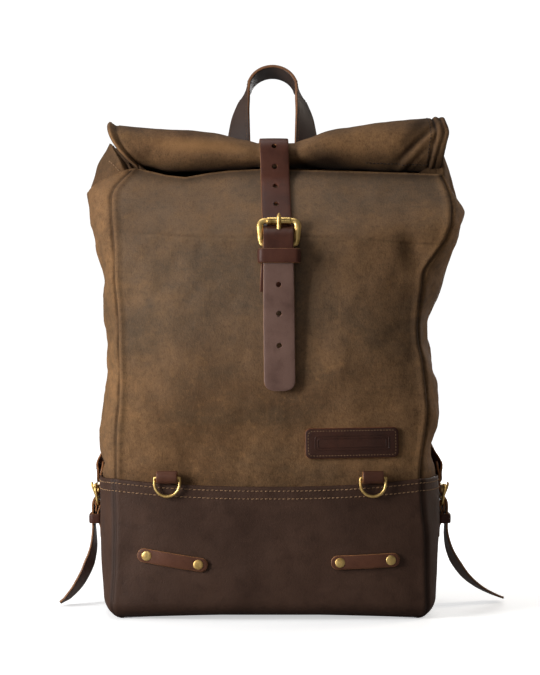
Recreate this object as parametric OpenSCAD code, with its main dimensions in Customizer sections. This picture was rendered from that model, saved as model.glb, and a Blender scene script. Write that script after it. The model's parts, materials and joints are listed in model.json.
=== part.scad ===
// Roll-top leather pack for a motorcycle, worn on the back or strapped on as a saddlebag.
// Millimetres. +X to the right seen from the front, +Y towards the back, +Z up.
// Origin: centre of the bottom panel, on the surface that the bag stands on.

/* [Body] */
// Half width of the front panel, seam to seam
seam_x = 141; // [136:1:145]
// Distance from the centre plane to the front corner seams
seam_y = 66; // [64:1:70]
// Distance from the centre plane to the outside of the back panel
back_y = 64; // [62:1:66]
// How far the front panel bulges past its corner seams
front_bulge = 9; // [6:0.5:9]
// How far each side gusset bulges past its corner seams
side_bulge = 15; // [10:1:16]
// Height of the top edge of the waxed leather panels
lip_z = 405; // [403:1:406]
// Height of the top edge of the smooth leather base
base_z = 122; // [118:1:124]
// How far the waxed panels run down inside the base
overlap = 14; // [8:1:20]
// Height at which the front panel bends and starts to lean back
bend_z = 347; // [340:1:352]
// How far the front panel's top edge leans back from the bend
lean_y = 46.6; // [44:0.2:48]
// Thickness of the panel leather
leather = 2.6; // [2:0.1:2.6]
// Thickness of the canvas lining
canvas = 0.8; // [0.6:0.1:1]

/* [Closure] */
// Centre of the buckle and the hanging strap end
strap_x = 7.5; // [5:0.5:9]
// Width of the closure strap
strap_w = 27; // [24:0.5:27.5]
// Thickness of the strap leather
strap_t = 2.9; // [2.5:0.1:2.9]
// Height of the bar that the buckle is sewn on by
heel_z = 337; // [335:1:339]
// Height of the bottom of the hanging strap end
tail_z = 205; // [195:1:220]
// Diameter of the punched holes
hole_d = 5; // [4:0.5:6]

/* [Roll top] */
// Height of the roll at its ends
roll_end_z = 458; // [450:1:460]
// Height of the roll under the strap
roll_mid_z = 434; // [433.5:0.1:434]
// Front to back distance of the roll's middle from the centre plane
roll_y = -6; // [-7:0.5:-5]

/* [Side straps] */
// Scale of the side buckles against the closure buckle
side_k = 0.75; // [0.7:0.01:0.76]
// Height of the side buckle's sewn bar
side_z = 97; // [96:1:98]
// Front to back place of the side buckles
side_y = 18; // [14:1:20]

/* [Fittings] */
// Distance from the centre to each D ring
ring_x = 92; // [88:1:94]
// Height of the D rings' straight bar
ring_z = 128.5; // [128:0.5:130]
// Diameter of the ring wire
wire = 2.6; // [2:0.1:2.8]
// Thickness of the riveted gear loops and the plain patch
trim_t = 2.4; // [2:0.1:2.6]

/* [Hidden] */
$fn = 48;
N = 14;             // segments along a bulged panel
wax = [0.42, 0.31, 0.2];
dark = [0.22, 0.15, 0.12];
strap_c = [0.27, 0.13, 0.09];
brass = [0.78, 0.6, 0.25];
cloth = [0.62, 0.56, 0.45];
lap = leather + 0.2;  // the base sits outside the waxed panels by this much

// ---- the bag's plan outline, grown outwards by o
function fy(x, o) = -(seam_y + o) - front_bulge * (1 - pow(x / (seam_x + o), 4));
yc = (back_y - seam_y) / 2;
yh = (back_y + seam_y) / 2;
function sx(y, o) = (seam_x + o) + side_bulge * (1 - pow((y - yc) / (yh + o), 4));
function front_pts(o) = [for (i = [0:N]) let (x = (2 * i / N - 1) * (seam_x + o)) [x, fy(x, o)]];
function right_pts(o) = [for (i = [0:N]) let (y = yc + (2 * i / N - 1) * (yh + o)) [sx(y, o), y]];
function rev(p) = [for (i = [len(p) - 1:-1:0]) p[i]];
function outline(o) = concat(front_pts(o), right_pts(o), [for (p = rev(right_pts(o))) [-p[0], p[1]]]);
lean_a = atan(lean_y / (lip_z - bend_z));
lip_y = -seam_y - front_bulge + lean_y;
// everything in front of the leaning plane, moved outwards by o
module ahead(o) translate([0, -seam_y - front_bulge, bend_z]) rotate([-lean_a, 0, 0]) translate([-250, -200 - o, -150]) cube([500, 200, 400]);
module loft(rings) {
    n = len(rings); m = len(rings[0]);
    polyhedron(points = [for (r = rings, p = r) p], faces = concat(
        [[for (k = [0:m - 1]) k]], [[for (k = [m - 1:-1:0]) (n - 1) * m + k]],
        [for (i = [0:n - 2], k = [0:m - 1]) [i * m + k, (i + 1) * m + k, (i + 1) * m + (k + 1) % m]],
        [for (i = [0:n - 2], k = [0:m - 1]) [i * m + k, (i + 1) * m + (k + 1) % m, i * m + (k + 1) % m]]));
}
// walls of the smooth base, straight up
module front_wall(o, t, z0, z1) translate([0, 0, z0]) linear_extrude(z1 - z0)
    polygon(concat(front_pts(o), rev(front_pts(o - t))));
module right_wall(o, t, z0, z1) translate([0, 0, z0]) linear_extrude(z1 - z0)
    polygon(concat(right_pts(o), rev(right_pts(o - t))));
module back_wall(o, t, z0, z1) translate([0, 0, z0]) linear_extrude(z1 - z0)
    polygon([[-(seam_x + o - t), back_y + o - t], [seam_x + o - t, back_y + o - t], [seam_x + o, back_y + o], [-(seam_x + o), back_y + o]]);
// waxed panels: upright to the bend, leaning above it
module front_leaf(t, z0) union() {
    difference() { front_wall(0, t, z0, lip_z); ahead(0); }
    intersection() {
        translate([0, 0, bend_z - 30]) linear_extrude(lip_z - bend_z + 30) intersection() {
            polygon(concat(front_pts(0), [[seam_x, 0], [-seam_x, 0]]));
            square([2 * (seam_x - t - 0.1), 300], center = true);
        }
        translate([0, -seam_y - front_bulge, bend_z]) rotate([-lean_a, 0, 0]) translate([-250, 0, 0]) cube([500, t, 200]);
    }
}
module right_leaf(t, z0) difference() { right_wall(0, t, z0, lip_z); ahead(0); }
module tub(o, t, z0, z1, floor_t) difference() {
    translate([0, 0, z0]) linear_extrude(z1 - z0) polygon(outline(o));
    ahead(o);
    difference() {
        translate([0, 0, z0 + floor_t]) linear_extrude(z1 - z0) polygon(outline(o - t));
        ahead(o - t);
    }
}

// ---- shell
up0 = base_z - overlap;
module front_panel() color(wax) front_leaf(leather, up0);
module back_panel() color(wax) back_wall(0, leather, up0, lip_z);
module gusset_right() color(wax) right_leaf(leather, up0);
module gusset_left() color(wax) mirror([1, 0, 0]) right_leaf(leather, up0);
module base_front() color(dark) front_wall(lap, leather, leather, base_z);
module base_back() color(dark) back_wall(lap, leather, leather, base_z);
module base_side_right() color(dark) right_wall(lap, leather, leather, base_z);
module base_side_left() color(dark) mirror([1, 0, 0]) right_wall(lap, leather, leather, base_z);
module base_bottom() color(dark) linear_extrude(leather) polygon(outline(lap));
module base_board() color([0.5, 0.45, 0.38]) translate([0, 0, leather + 0.1]) linear_extrude(2) polygon(outline(-leather - 2));
// open-topped canvas bag that hangs inside the shell from the facing
module lining() color(cloth) tub(-leather - 0.3, canvas, 5, lip_z - 25, canvas);
// leather facing sewn round the inside of the mouth
module mouth_facing() color(wax) tub(-leather - 0.3, 1.6, lip_z - 24.7, lip_z, -0.5);

// ---- trim on the front: a plate that follows the bulged surface, cut to a 2D outline
module on_front(o, gap, t) intersection() {
    translate([0, 0, 0]) linear_extrude(460) polygon(concat(
        [for (p = front_pts(o)) [p[0], p[1] - gap - t]], [for (p = rev(front_pts(o))) [p[0], p[1] - gap]]));
    translate([0, -50, 0]) rotate([90, 0, 0]) linear_extrude(60) children();
}
module stadium(l, w) { square([l - w, w], center = true); for (s = [-1, 1]) translate([s * (l - w) / 2, 0]) circle(d = w); }
module round_rect(w, h, r) { square([w - 2 * r, h], center = true); square([w, h - 2 * r], center = true);
    for (i = [-1, 1], j = [-1, 1]) translate([i * (w / 2 - r), j * (h / 2 - r)]) circle(r); }
patch_c = [73, 160];
module plain_patch() color(strap_c) on_front(0, 0.2, trim_t) translate(patch_c) round_rect(83.5, 28, 5);
// the gear loops: centre, tilt and rivet spacing
loopL = [-87, 59, -9.2];
loopR = [87, 52, 2.6];
loop_rivets = 46.5;
module loop_outline(g) translate([g[0], g[1]]) rotate(g[2]) difference() {
    stadium(64, 12.5);
    for (s = [-1, 1]) translate([s * loop_rivets / 2, 0]) circle(d = 4.2);
}
module gear_loop_left() color(strap_c) on_front(lap, 0.3, trim_t) loop_outline(loopL);
module gear_loop_right() color(strap_c) on_front(lap, 0.3, trim_t) loop_outline(loopR);
module rivet(d, depth) { cylinder(d = 3.6, h = depth); translate([0, 0, depth]) cylinder(d1 = d, d2 = d * 0.72, h = 1.5); }
module gear_loop_rivets() color(brass) for (g = [loopL, loopR], s = [-1, 1]) {
    px = g[0] + s * cos(g[2]) * loop_rivets / 2;
    pz = g[1] + s * sin(g[2]) * loop_rivets / 2;
    sl = atan(4 * front_bulge * pow(px, 3) / pow(seam_x + lap, 4));
    translate([px, fy(px, lap) - 0.05, pz]) rotate([0, 0, sl]) rotate([90, 0, 0]) rivet(9, trim_t + 0.75);
}

// ---- D rings on folded tabs
ring_bar_y = fy(ring_x, lap) - wire / 2 - 2.2;
ring_a = atan(4 * front_bulge * pow(ring_x, 3) / pow(seam_x + lap, 4));
module at_ring(s) translate([s * ring_x, ring_bar_y, ring_z]) rotate([0, 0, s * ring_a]) children();
tab_r = wire / 2 + 0.1;
module dring_tab(s) color(strap_c) at_ring(s) rotate([90, 0, 90]) translate([0, 0, -9]) linear_extrude(18) difference() {
    union() { circle(tab_r + 1.8); translate([-tab_r - 1.8, -5.7]) square([2 * tab_r + 3.6, 5.7]); }
    circle(tab_r);
}
module dring_solid(s) color(brass) at_ring(s) {
    rotate([0, 90, 0]) translate([0, 0, -11.3]) cylinder(d = wire, h = 22.6);
    for (i = [-1, 1]) translate([i * 11.3, 0, -4]) { cylinder(d = wire, h = 4); translate([0, 0, 4]) sphere(d = wire); }
    translate([0, 0, -4]) rotate([90, 0, 0]) rotate([0, 0, 180]) rotate_extrude(angle = 180) translate([11.3, 0]) circle(d = wire);
}

// ---- closure buckle, in its own frame: x across, y outwards is minus, z up from the heel bar's height,
// y = 0 on the surface that the strap is sewn to
bar_r = 2.1;
heel_y = -5;
roll_dz = 21.5;
roll_dy = -8.2;
lo = 13.5;
tilt = 20;          // the closure buckle lies back with the panel's bend
module at_heel(a) translate([0, heel_y, 0]) rotate([-a, 0, 0]) translate([0, -heel_y, 0]) children();
module bk_frame(a = 0) at_heel(a) {
    rotate([0, 90, 0]) translate([0, heel_y, -17]) cylinder(r = bar_r, h = 34);
    translate([0, roll_dy, roll_dz]) rotate([0, 90, 0]) translate([0, 0, -17]) cylinder(r = bar_r, h = 34);
    for (s = [-1, 1]) rotate([90, 0, 90]) translate([0, 0, s > 0 ? 14.6 : -19.6]) linear_extrude(5) {
        polygon([[heel_y - 2.3, 0], [heel_y + 2.3, 0], [roll_dy + 2.4, roll_dz + 3.6], [roll_dy - 2.6, roll_dz + 3.6]]);
        translate([heel_y, 0]) circle(2.5);
    }
}
module bk_roller(a = 0) at_heel(a) translate([0, roll_dy, roll_dz]) rotate([0, 90, 0]) difference() {
    translate([0, 0, -11]) cylinder(r = 3.5, h = 22);
    translate([0, 0, -12]) cylinder(r = bar_r + 0.06, h = 24);
}
prong_a = atan((roll_dy - 3.5 - 1.9 - heel_y) / roll_dz);
module bk_prong(a = 0) at_heel(a) translate([0, heel_y, 0]) difference() {
    union() {
        rotate([0, 90, 0]) translate([0, 0, -2]) cylinder(r = bar_r + 1.5, h = 4);
        rotate([-prong_a, 0, 0]) translate([-1.9, -1.4, 0]) cube([3.8, 2.8, 26.2]);
    }
    rotate([0, 90, 0]) translate([0, 0, -3]) cylinder(r = bar_r + 0.06, h = 6);
}
// strap that is folded round the heel bar and sewn down below it
module bk_base(low, drop = 0) difference() {
    rotate([90, 0, 90]) translate([0, 0, -lo]) linear_extrude(2 * lo) difference() {
        union() {
            translate([heel_y, 0]) circle(bar_r + 0.1 + 2.3);
            polygon([[-7.4, 0], [-7.4, -16.7 - drop], [-5.2, -18.8 - drop], [-5.2, low], [-0.3, low], [-0.3, -18.8 - drop], [-2.6, -16.7 - drop], [-2.6, 0]]);
        }
        translate([heel_y, 0]) circle(bar_r + 0.06);
    }
    translate([-2.4, -20, -3.9]) cube([4.8, 30, 12]);
}
// the strap through the buckle: behind the roller, out over the heel bar, down through the keeper
y_t = -9.9;
function nrm(v) = v / norm(v);
function perp(v) = [v[1], -v[0]];
function off_pts(p, t) = [for (i = [0:len(p) - 1])
    let (a = nrm(p[i] - p[max(i - 1, 0)] + (i == 0 ? p[1] - p[0] : [0, 0])), b = nrm(p[min(i + 1, len(p) - 1)] - p[i] + (i == len(p) - 1 ? p[i] - p[i - 1] : [0, 0])),
        m = nrm(a + b), k = t / max(0.5, m * b)) p[i] + k * perp(m)];
// side profile of a strap: the points of its bag side, given a thickness outwards
module band(p, w) rotate([90, 0, 90]) translate([0, 0, -w / 2]) linear_extrude(w) polygon(concat(p, rev(off_pts(p, -strap_t))));
// how the closure strap passes the roller of the leaning buckle
thr_c = [[6.02, 18.37], [7.15, 19.77]];
thr_s = [[-0.5, 17.7], [-0.5, roll_dz]];
module bk_through(low, slot, top) difference() {
    band(concat([[y_t, low], [y_t, 2.2]], top), strap_w);
    translate([-2.5, -30, slot[0]]) cube([5, 40, slot[1] - slot[0]]);
}
slot_z = [0.4, 15.6];
module bk_keeper(dz = 0) translate([0, 0, -16.3 + dz]) difference() {
    translate([-19, -15.6, 0]) cube([38, 15.3, 12]);
    translate([-16.6, -13.3, -1]) cube([33.2, 11.2, 14]);
}
front_y = fy(strap_x, 0);
module at_closure() translate([strap_x, front_y, heel_z]) children();
module closure_base_strap() color(strap_c) at_closure() bk_base(-42);
low_end = -17.4;
module closure_strap_lower() color(strap_c) at_closure() bk_through(low_end, slot_z, thr_c);
module buckle_frame() color(brass) at_closure() bk_frame(tilt);
module buckle_roller() color(brass) at_closure() bk_roller(tilt);
module buckle_prong() color(brass) at_closure() bk_prong(tilt);
module closure_keeper() color(strap_c) at_closure() bk_keeper();
// hanging end, with a rounded tip and punched holes
module closure_strap_tail() color(strap_c) translate([strap_x, front_y + y_t, 0]) rotate([90, 0, 0]) linear_extrude(strap_t)
    difference() {
        union() {
            translate([-strap_w / 2, tail_z + 11]) square([strap_w, heel_z + low_end - 0.4 - tail_z - 11]);
            translate([0, tail_z + 11]) square([strap_w, 4], center = true);
            translate([-strap_w / 2 + 9, tail_z]) square([strap_w - 18, 12]);
            for (s = [-1, 1]) translate([s * (strap_w / 2 - 10), tail_z + 10]) circle(10);
        }
        for (z = [246.7, 274, 301]) translate([0, z]) circle(d = hole_d);
    }

// ---- roll, collar and the strap over them, all in one moving group
hinge = [back_y + 3.2, lip_z + 0.2];
roll_bot = lip_z + 3;
roll_h = 25;        // half the roll's front to back size
// height of the roll's top at x: low under the strap, high at the ends
function rt(x) = let (u = abs(x - 5)) roll_mid_z + (roll_end_z - roll_mid_z) * (1 - pow(2.72, -pow(max(0, u - 14) / 62, 1.2)));
RS = [-148, -132, -104, -74, -46, -24, -9, 5, 19, 34, 56, 84, 114, 142, 158];
RN = 20;
function roll_ring(x) = let (top = rt(x), b = (top - roll_bot) / 2, c = (top + roll_bot) / 2, e = (abs(x) > 145) ? 0.82 : 1)
    [for (k = [0:RN - 1]) let (a = 360 * k / RN, ca = cos(a), sa = sin(a))
        [x, roll_y + e * roll_h * sign(ca) * pow(abs(ca), 0.85), c + e * b * sign(sa) * pow(abs(sa), 0.85)]];
module roll() color(wax) difference() {
    loft([for (x = RS) roll_ring(x)]);
    translate([-138.3, roll_y - 12.2, roll_bot + 9.8]) cube([286.6, 24.4, 3.4]);
}
// stiff strip sewn into the mouth's edge, at the heart of the roll
module mouth_batten() color([0.2, 0.2, 0.2]) translate([-138, roll_y - 12, roll_bot + 10]) cube([286, 24, 3]);
module collar_back() color(wax) rotate([90, 0, 90]) translate([0, 0, -seam_x + 1]) linear_extrude(2 * seam_x - 2) polygon([
    [back_y - 3.2, lip_z + 0.4], [back_y - 0.8, lip_z + 0.4], [back_y - 1.2, lip_z + 3.4], [42.6, 423.4], [19.6, 428.4],
    [19.6, 425.8], [41.6, 420.8], [back_y - 3.4, lip_z + 2.6]]);
// folded corner between a gusset's top edge and the roll's end
module collar_side(s) color(wax) translate([s * (seam_x + 1.5) - 1.3, 0, 0]) rotate([90, 0, 90]) linear_extrude(2.6) polygon([
    [-16, lip_z + 0.4], [back_y - 5, lip_z + 0.4], [back_y - 6, lip_z + 3], [41, 422], [20, 427], [19.4, lip_z + 2.6], [-16, lip_z + 2.6]]);
over_out = [[back_y - 0.4, lip_z + 0.4], [back_y - 0.8, lip_z + 3.8], [43, 424], [24, roll_mid_z - 5], [14, roll_mid_z - 0.4], [10, roll_mid_z + 0.4],
    [-20, roll_mid_z + 0.4], [-26.5, roll_mid_z - 2.6], [-31.2, 425], [-32, 412], [-31.8, 402], [front_y + 7.37, heel_z + 20.04]];
module closure_strap_over() color(strap_c) difference() {
    translate([strap_x - 2, 0, 0]) band(rev(over_out), strap_w);
    for (z = [374, 391]) translate([strap_x - 1, front_y + (z - bend_z) * 0.803, z]) rotate([128.8, 0, 0]) cylinder(d = hole_d, h = 20, center = true);
}
module closure_strap_anchor() color(strap_c) translate([strap_x - 2 - strap_w / 2, back_y + 0.1, 352]) cube([strap_w, strap_t, lip_z - 352]);

// ---- ribbons: stations of [centre, width direction, face normal, width, thickness]
function quad(s) = let (w = nrm(s[1]) * s[3] / 2, n = nrm(s[2]) * s[4] / 2, c = s[0]) [c - w - n, c + w - n, c + w + n, c - w + n];
module ribbon(st) loft([for (s = st) quad(s)]);
function neg(st) = [for (s = st) [s[0], -s[1], s[2], s[3], s[4]]];
function mx(p) = [-p[0], p[1], p[2]];
function mirror_st(st) = [for (s = rev(st)) [mx(s[0]), mx(s[1]), mx(s[2]), s[3], s[4]]];

// ---- handle: strap ends flat on the back, legs that twist edge-on, round arch, all leaning back
hand_x = 2.5;
hand_w = 25;
hand_t = 3;
lean = 20;
hand_z = 397;
hand_y = back_y + 1.7;
function lean_pt(x, d, h) = [hand_x + x, hand_y + d * cos(lean) + h * sin(lean), hand_z + h * cos(lean) - d * sin(lean)];
function lean_v(x, d, h) = [x, d * cos(lean) + h * sin(lean), h * cos(lean) - d * sin(lean)];
// one leg: height, turn of the width direction from across (0) to front-to-back (90), centre offset
leg = [[1.2, 0, 33.6, 0], [20, 3, 34, 0.7], [45, 11, 34, 2.4], [62, 21, 33.6, 4.5], [76, 37, 32.2, 7.5], [89, 53, 30.2, 10], [102, 71, 26.9, 11.8], [110, 84, 24.9, 12.4]];
arch_h = 115;
arch_r = 24.4;
function leg_st(s) = [for (g = leg) [lean_pt(s * g[2], g[3], g[0]), lean_v(s * cos(g[1]), sin(g[1]), 0), lean_v(s * sin(g[1]), -cos(g[1]), 0), hand_w, hand_t]];
arch_st = [for (a = [0:22.5:180]) [lean_pt(arch_r * cos(a), 12.5, arch_h + arch_r * sin(a)), lean_v(0, 1, 0), lean_v(cos(a), 0, sin(a)), hand_w, hand_t]];
module handle() color(dark) ribbon(neg(concat(leg_st(1), arch_st, rev(leg_st(-1)))));
module handle_ends() color(dark) for (s = [-1, 1]) translate([hand_x + s * 33 - hand_w / 2, back_y + 0.1, 354]) cube([hand_w, hand_t, hand_z - 354]);

// ---- back: yoke patch that covers the strap ends, riveted at its corners
yoke_y = back_y + 0.1 + 3 + 0.1;
module yoke_patch() color(dark) translate([hand_x, yoke_y, 366]) rotate([-90, 0, 0]) linear_extrude(leather) difference() {
    round_rect(134, 44, 8);
    for (i = [-1, 1], j = [-1, 1]) translate([i * 33, j * 14]) circle(d = 3.8);
}
module yoke_rivets() color(brass) for (i = [-1, 1], j = [-1, 1]) translate([hand_x + i * 33, yoke_y - 0.02, 366 + j * 14]) rotate([-90, 0, 0]) rivet(9, leather + 0.05);

// ---- shoulder straps: padded, hung from under the yoke, bowed away from the back
sh = [[[40, 69.2, 340], 34, 4.5], [[43, 73.5, 326], 38, 8], [[49, 79.5, 306], 43, 10], [[58, 84, 283], 46, 10],
      [[69, 86, 260], 46, 10], [[81, 85.6, 239], 43, 10], [[92, 82.5, 222], 37, 9], [[99.5, 79.6, 211], 30, 6]];
function sh_dir(i) = let (a = sh[max(0, i - 1)][0], b = sh[min(len(sh) - 1, i + 1)][0]) nrm(b - a);
sh_st = [for (i = [0:len(sh) - 1]) let (d = sh_dir(i), w = nrm(cross([0, 1, 0], d))) [sh[i][0], w, cross(d, w), sh[i][1], sh[i][2]]];
function oct(s) = let (w = nrm(s[1]) * s[3] / 2, n = nrm(s[2]) * s[4] / 2, c = s[0], k = 0.84, j = 0.4)
    [c - w * k - n, c + w * k - n, c + w - n * j, c + w + n * j, c + w * k + n, c - w * k + n, c - w + n * j, c - w - n * j];
module shoulder_strap_right() color(dark) loft([for (s = sh_st) oct(s)]);
module shoulder_strap_left() color(dark) loft([for (s = mirror_st(sh_st)) oct(s)]);

// ---- side buckles, the closure buckle's shape made smaller and turned to face sideways
side_surf = sx(side_y, lap) + 0.1;
module at_side(s) translate([s * side_surf, side_y, side_z]) rotate([0, 0, s * 90]) scale(side_k) children();
side_w = strap_w * side_k;
side_t = strap_t * side_k;
ya = y_t * side_k;
side_drop = 8;      // how far the side keeper sits below the closure keeper's place
upright_z = 134;
// the slanting strap: sewn on the upright piece, round the back corner, to under the padded strap's end
slant = 50;
sp = [[162.7, 17.5, 125.5], [158.6, 33, 139], [153.4, 52, 155.3], [149.8, 62.3, 164.4], [143.3, 68.4, 171.6], [134, 71, 179.7], [119, 72, 192], [103, 72.6, 205]];
function sp_dir(i) = let (a = sp[max(0, i - 1)], b = sp[min(len(sp) - 1, i + 1)]) nrm([b[0] - a[0], b[1] - a[1]]);
slant_st = [for (i = [0:len(sp) - 1]) let (h = sp_dir(i)) [sp[i], [-h[0] * cos(slant), -h[1] * cos(slant), sin(slant)], [h[1], -h[0], 0], side_w, side_t]];
module adjuster(s) color(strap_c) {
    ribbon(s > 0 ? slant_st : mirror_st(slant_st));
    at_side(s) {
        bk_through(-19.6 - side_drop, slot_z, thr_s);
        translate([-strap_w / 2, -0.5 - strap_t, roll_dz - 0.2]) cube([strap_w, strap_t, (upright_z - side_z) / side_k - roll_dz]);
    }
}
module side_tab(s) color(strap_c) at_side(s) bk_base(-42, side_drop);
module side_buckle(s) color(brass) at_side(s) bk_frame();
module side_roller(s) color(brass) at_side(s) bk_roller();
module side_prong(s) color(brass) at_side(s) bk_prong();
module side_keeper(s) color(strap_c) at_side(s) bk_keeper(-side_drop);
// hanging ends: [out from the side, up, along] of the strap's middle
tx = side_surf - ya + side_t / 2;
tail_top = side_z - (20.7 + side_drop) * side_k;
tailR = [[tx, tail_top, side_y], [tx + 0.6, 66, side_y + 0.5], [tx + 4, 52, side_y + 2.5], [tx + 11, 38, side_y + 5.5], [tx + 21, 25, side_y + 9.5], [tx + 34, 14.5, side_y + 14], [tx + 48, 7, side_y + 18.5], [tx + 56.5, 3.6, side_y + 21]];
tailL = [[tx, tail_top, side_y], [tx - 0.1, 66, side_y - 0.3], [tx + 0.6, 54, side_y - 1], [tx + 4, 41, side_y - 2.2], [tx + 9, 29, side_y - 4], [tx + 16, 17.5, side_y - 6.4], [tx + 24, 8.5, side_y - 8.6], [tx + 31, 3.4, side_y - 10]];
function tail_pts(p) = [for (q = p) [q[0], q[2], q[1]]];
function tail_st(p) = let (c = tail_pts(p)) [for (i = [0:len(c) - 1]) let (d = nrm(c[min(i + 1, len(c) - 1)] - c[max(i - 1, 0)]), w0 = [0, 1, 0], n = nrm(cross(d, w0)), w = nrm(cross(n, d)))
    [c[i], w, n, i == len(c) - 1 ? side_w * 0.62 : side_w, side_t]];
module side_tail_right() color(strap_c) ribbon(tail_st(tailR));
module side_tail_left() color(strap_c) ribbon(mirror_st(tail_st(tailL)));

front_panel();
back_panel();
gusset_left();
gusset_right();
base_front();
base_back();
base_side_left();
base_side_right();
base_bottom();
base_board();
lining();
mouth_facing();
plain_patch();
gear_loop_left();
gear_loop_right();
gear_loop_rivets();
dring_tab(-1);  // dring_tab_left
dring_tab(1);  // dring_tab_right
dring_solid(-1);  // dring_left
dring_solid(1);  // dring_right
closure_base_strap();
closure_strap_lower();
closure_strap_tail();
closure_strap_over();
closure_strap_anchor();
buckle_frame();
buckle_roller();
buckle_prong();
closure_keeper();
roll();
mouth_batten();
collar_back();
collar_side(-1);  // collar_side_left
collar_side(1);  // collar_side_right
handle();
handle_ends();
yoke_patch();
yoke_rivets();
shoulder_strap_left();
shoulder_strap_right();
adjuster(-1);  // adjuster_left
adjuster(1);  // adjuster_right
side_tab(-1);  // side_tab_left
side_tab(1);  // side_tab_right
side_buckle(-1);  // side_buckle_left
side_buckle(1);  // side_buckle_right
side_roller(-1);  // side_roller_left
side_roller(1);  // side_roller_right
side_prong(-1);  // side_prong_left
side_prong(1);  // side_prong_right
side_keeper(-1);  // side_keeper_left
side_keeper(1);  // side_keeper_right
side_tail_left();
side_tail_right();
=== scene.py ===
import json
import math
import random

import bpy
import numpy as np
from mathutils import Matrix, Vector, noise
from mathutils.bvhtree import BVHTree


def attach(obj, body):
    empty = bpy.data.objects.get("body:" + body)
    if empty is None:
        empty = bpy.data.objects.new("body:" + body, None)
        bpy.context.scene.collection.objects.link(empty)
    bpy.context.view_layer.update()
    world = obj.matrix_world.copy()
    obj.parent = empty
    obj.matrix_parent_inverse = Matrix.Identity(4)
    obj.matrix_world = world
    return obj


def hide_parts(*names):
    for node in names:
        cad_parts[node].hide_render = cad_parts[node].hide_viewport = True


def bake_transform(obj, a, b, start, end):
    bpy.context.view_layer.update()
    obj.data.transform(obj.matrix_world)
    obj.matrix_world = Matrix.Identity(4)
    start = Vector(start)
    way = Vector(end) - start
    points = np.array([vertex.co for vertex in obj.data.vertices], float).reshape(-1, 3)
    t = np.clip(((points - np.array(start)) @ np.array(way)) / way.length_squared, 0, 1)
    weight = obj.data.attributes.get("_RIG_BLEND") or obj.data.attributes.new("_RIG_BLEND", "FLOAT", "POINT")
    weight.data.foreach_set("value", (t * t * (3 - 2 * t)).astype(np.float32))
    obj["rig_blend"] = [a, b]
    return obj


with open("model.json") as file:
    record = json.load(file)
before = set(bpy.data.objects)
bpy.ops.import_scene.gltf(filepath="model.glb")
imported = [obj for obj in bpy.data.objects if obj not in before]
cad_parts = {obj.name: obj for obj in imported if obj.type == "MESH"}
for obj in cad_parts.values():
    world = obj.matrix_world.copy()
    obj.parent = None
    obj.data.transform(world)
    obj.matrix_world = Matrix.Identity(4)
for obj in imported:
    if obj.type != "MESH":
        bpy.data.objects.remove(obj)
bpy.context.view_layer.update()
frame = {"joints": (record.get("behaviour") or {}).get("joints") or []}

MM = 0.001
random.seed(7)
scene = bpy.context.scene
coll = scene.collection

# ------------------------------------------------------------------ camera
cam = bpy.data.cameras.new("camera")
cam.lens = 88.9
cam.sensor_width = 36.0
cam.sensor_fit = "AUTO"
cam.clip_end = 50
cam_o = bpy.data.objects.new("camera", cam)
cam_o.location = (0.0, -1.568, 0.254)
cam_o.rotation_euler = (math.radians(90), 0, 0)
coll.objects.link(cam_o)
scene.camera = cam_o


# ------------------------------------------------------------------ small maths
def arr(*p):
    return np.array(p, float)


def unit(v):
    v = np.asarray(v, float)
    n = np.linalg.norm(v, axis=-1, keepdims=True)
    return v / np.maximum(n, 1e-12)


def smooth_curve(pts, sigma=3.0, lo=-10.0, hi=470.0):
    """A table of (z, value) as a smooth function of z."""
    zz = np.arange(lo, hi + 0.5, 1.0)
    p = sorted(pts)
    v = np.interp(zz, [q[0] for q in p], [q[1] for q in p])
    k = np.arange(-int(4 * sigma), int(4 * sigma) + 1)
    w = np.exp(-0.5 * (k / sigma) ** 2)
    w /= w.sum()
    vp = np.pad(v, len(k) // 2, mode="edge")
    v = np.convolve(vp, w, mode="valid")
    return lambda z: np.interp(z, zz, v)


def catmull(pts, n):
    """A smooth open curve through pts, n points at even spacing."""
    p = np.asarray(pts, float)
    q = np.vstack([2 * p[0] - p[1], p, 2 * p[-1] - p[-2]])
    out = []
    for i in range(1, len(q) - 2):
        for t in np.linspace(0, 1, 24, endpoint=False):
            a, b, c, d = q[i - 1], q[i], q[i + 1], q[i + 2]
            out.append(0.5 * (2 * b + (c - a) * t + (2 * a - 5 * b + 4 * c - d) * t * t + (3 * b - a - 3 * c + d) * t ** 3))
    out.append(q[-2])
    return resample(np.array(out), n)


def resample(p, n):
    p = np.asarray(p, float)
    s = np.r_[0, np.cumsum(np.linalg.norm(np.diff(p[:, :3], axis=0), axis=1))]
    t = np.linspace(0, s[-1], n)
    return np.stack([np.interp(t, s, p[:, k]) for k in range(p.shape[1])], 1)


def length(p):
    return float(np.linalg.norm(np.diff(p, axis=0), axis=1).sum())


def tangents(p):
    return unit(np.gradient(np.asarray(p, float), axis=0))


def fbm(p, scale, octaves=4, seed=0.0):
    """Fractal noise at points given in mm; scale is in waves a metre."""
    out = np.empty(len(p))
    for i, q in enumerate(p):
        out[i] = noise.fractal(Vector((q[0] * MM * scale + seed, q[1] * MM * scale - seed, q[2] * MM * scale + 2 * seed)), 0.9, 2.0, octaves)
    return out


# ------------------------------------------------------------------ meshes
def make(name, verts, faces, mat=None, attrs=None, smooth=True, sharp=None):
    me = bpy.data.meshes.new(name)
    me.from_pydata([tuple(v) for v in np.asarray(verts, float) * MM], [], [tuple(int(k) for k in f) for f in faces])
    me.update()
    for k, a in (attrs or {}).items():
        at = me.attributes.new(k, "FLOAT", "POINT")
        at.data.foreach_set("value", np.asarray(a, np.float32))
    if smooth:
        me.polygons.foreach_set("use_smooth", [True] * len(me.polygons))
        if sharp:
            me.set_sharp_from_angle(angle=math.radians(sharp))
    o = bpy.data.objects.new(name, me)
    coll.objects.link(o)
    if mat:
        me.materials.append(mat)
    return o


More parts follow.
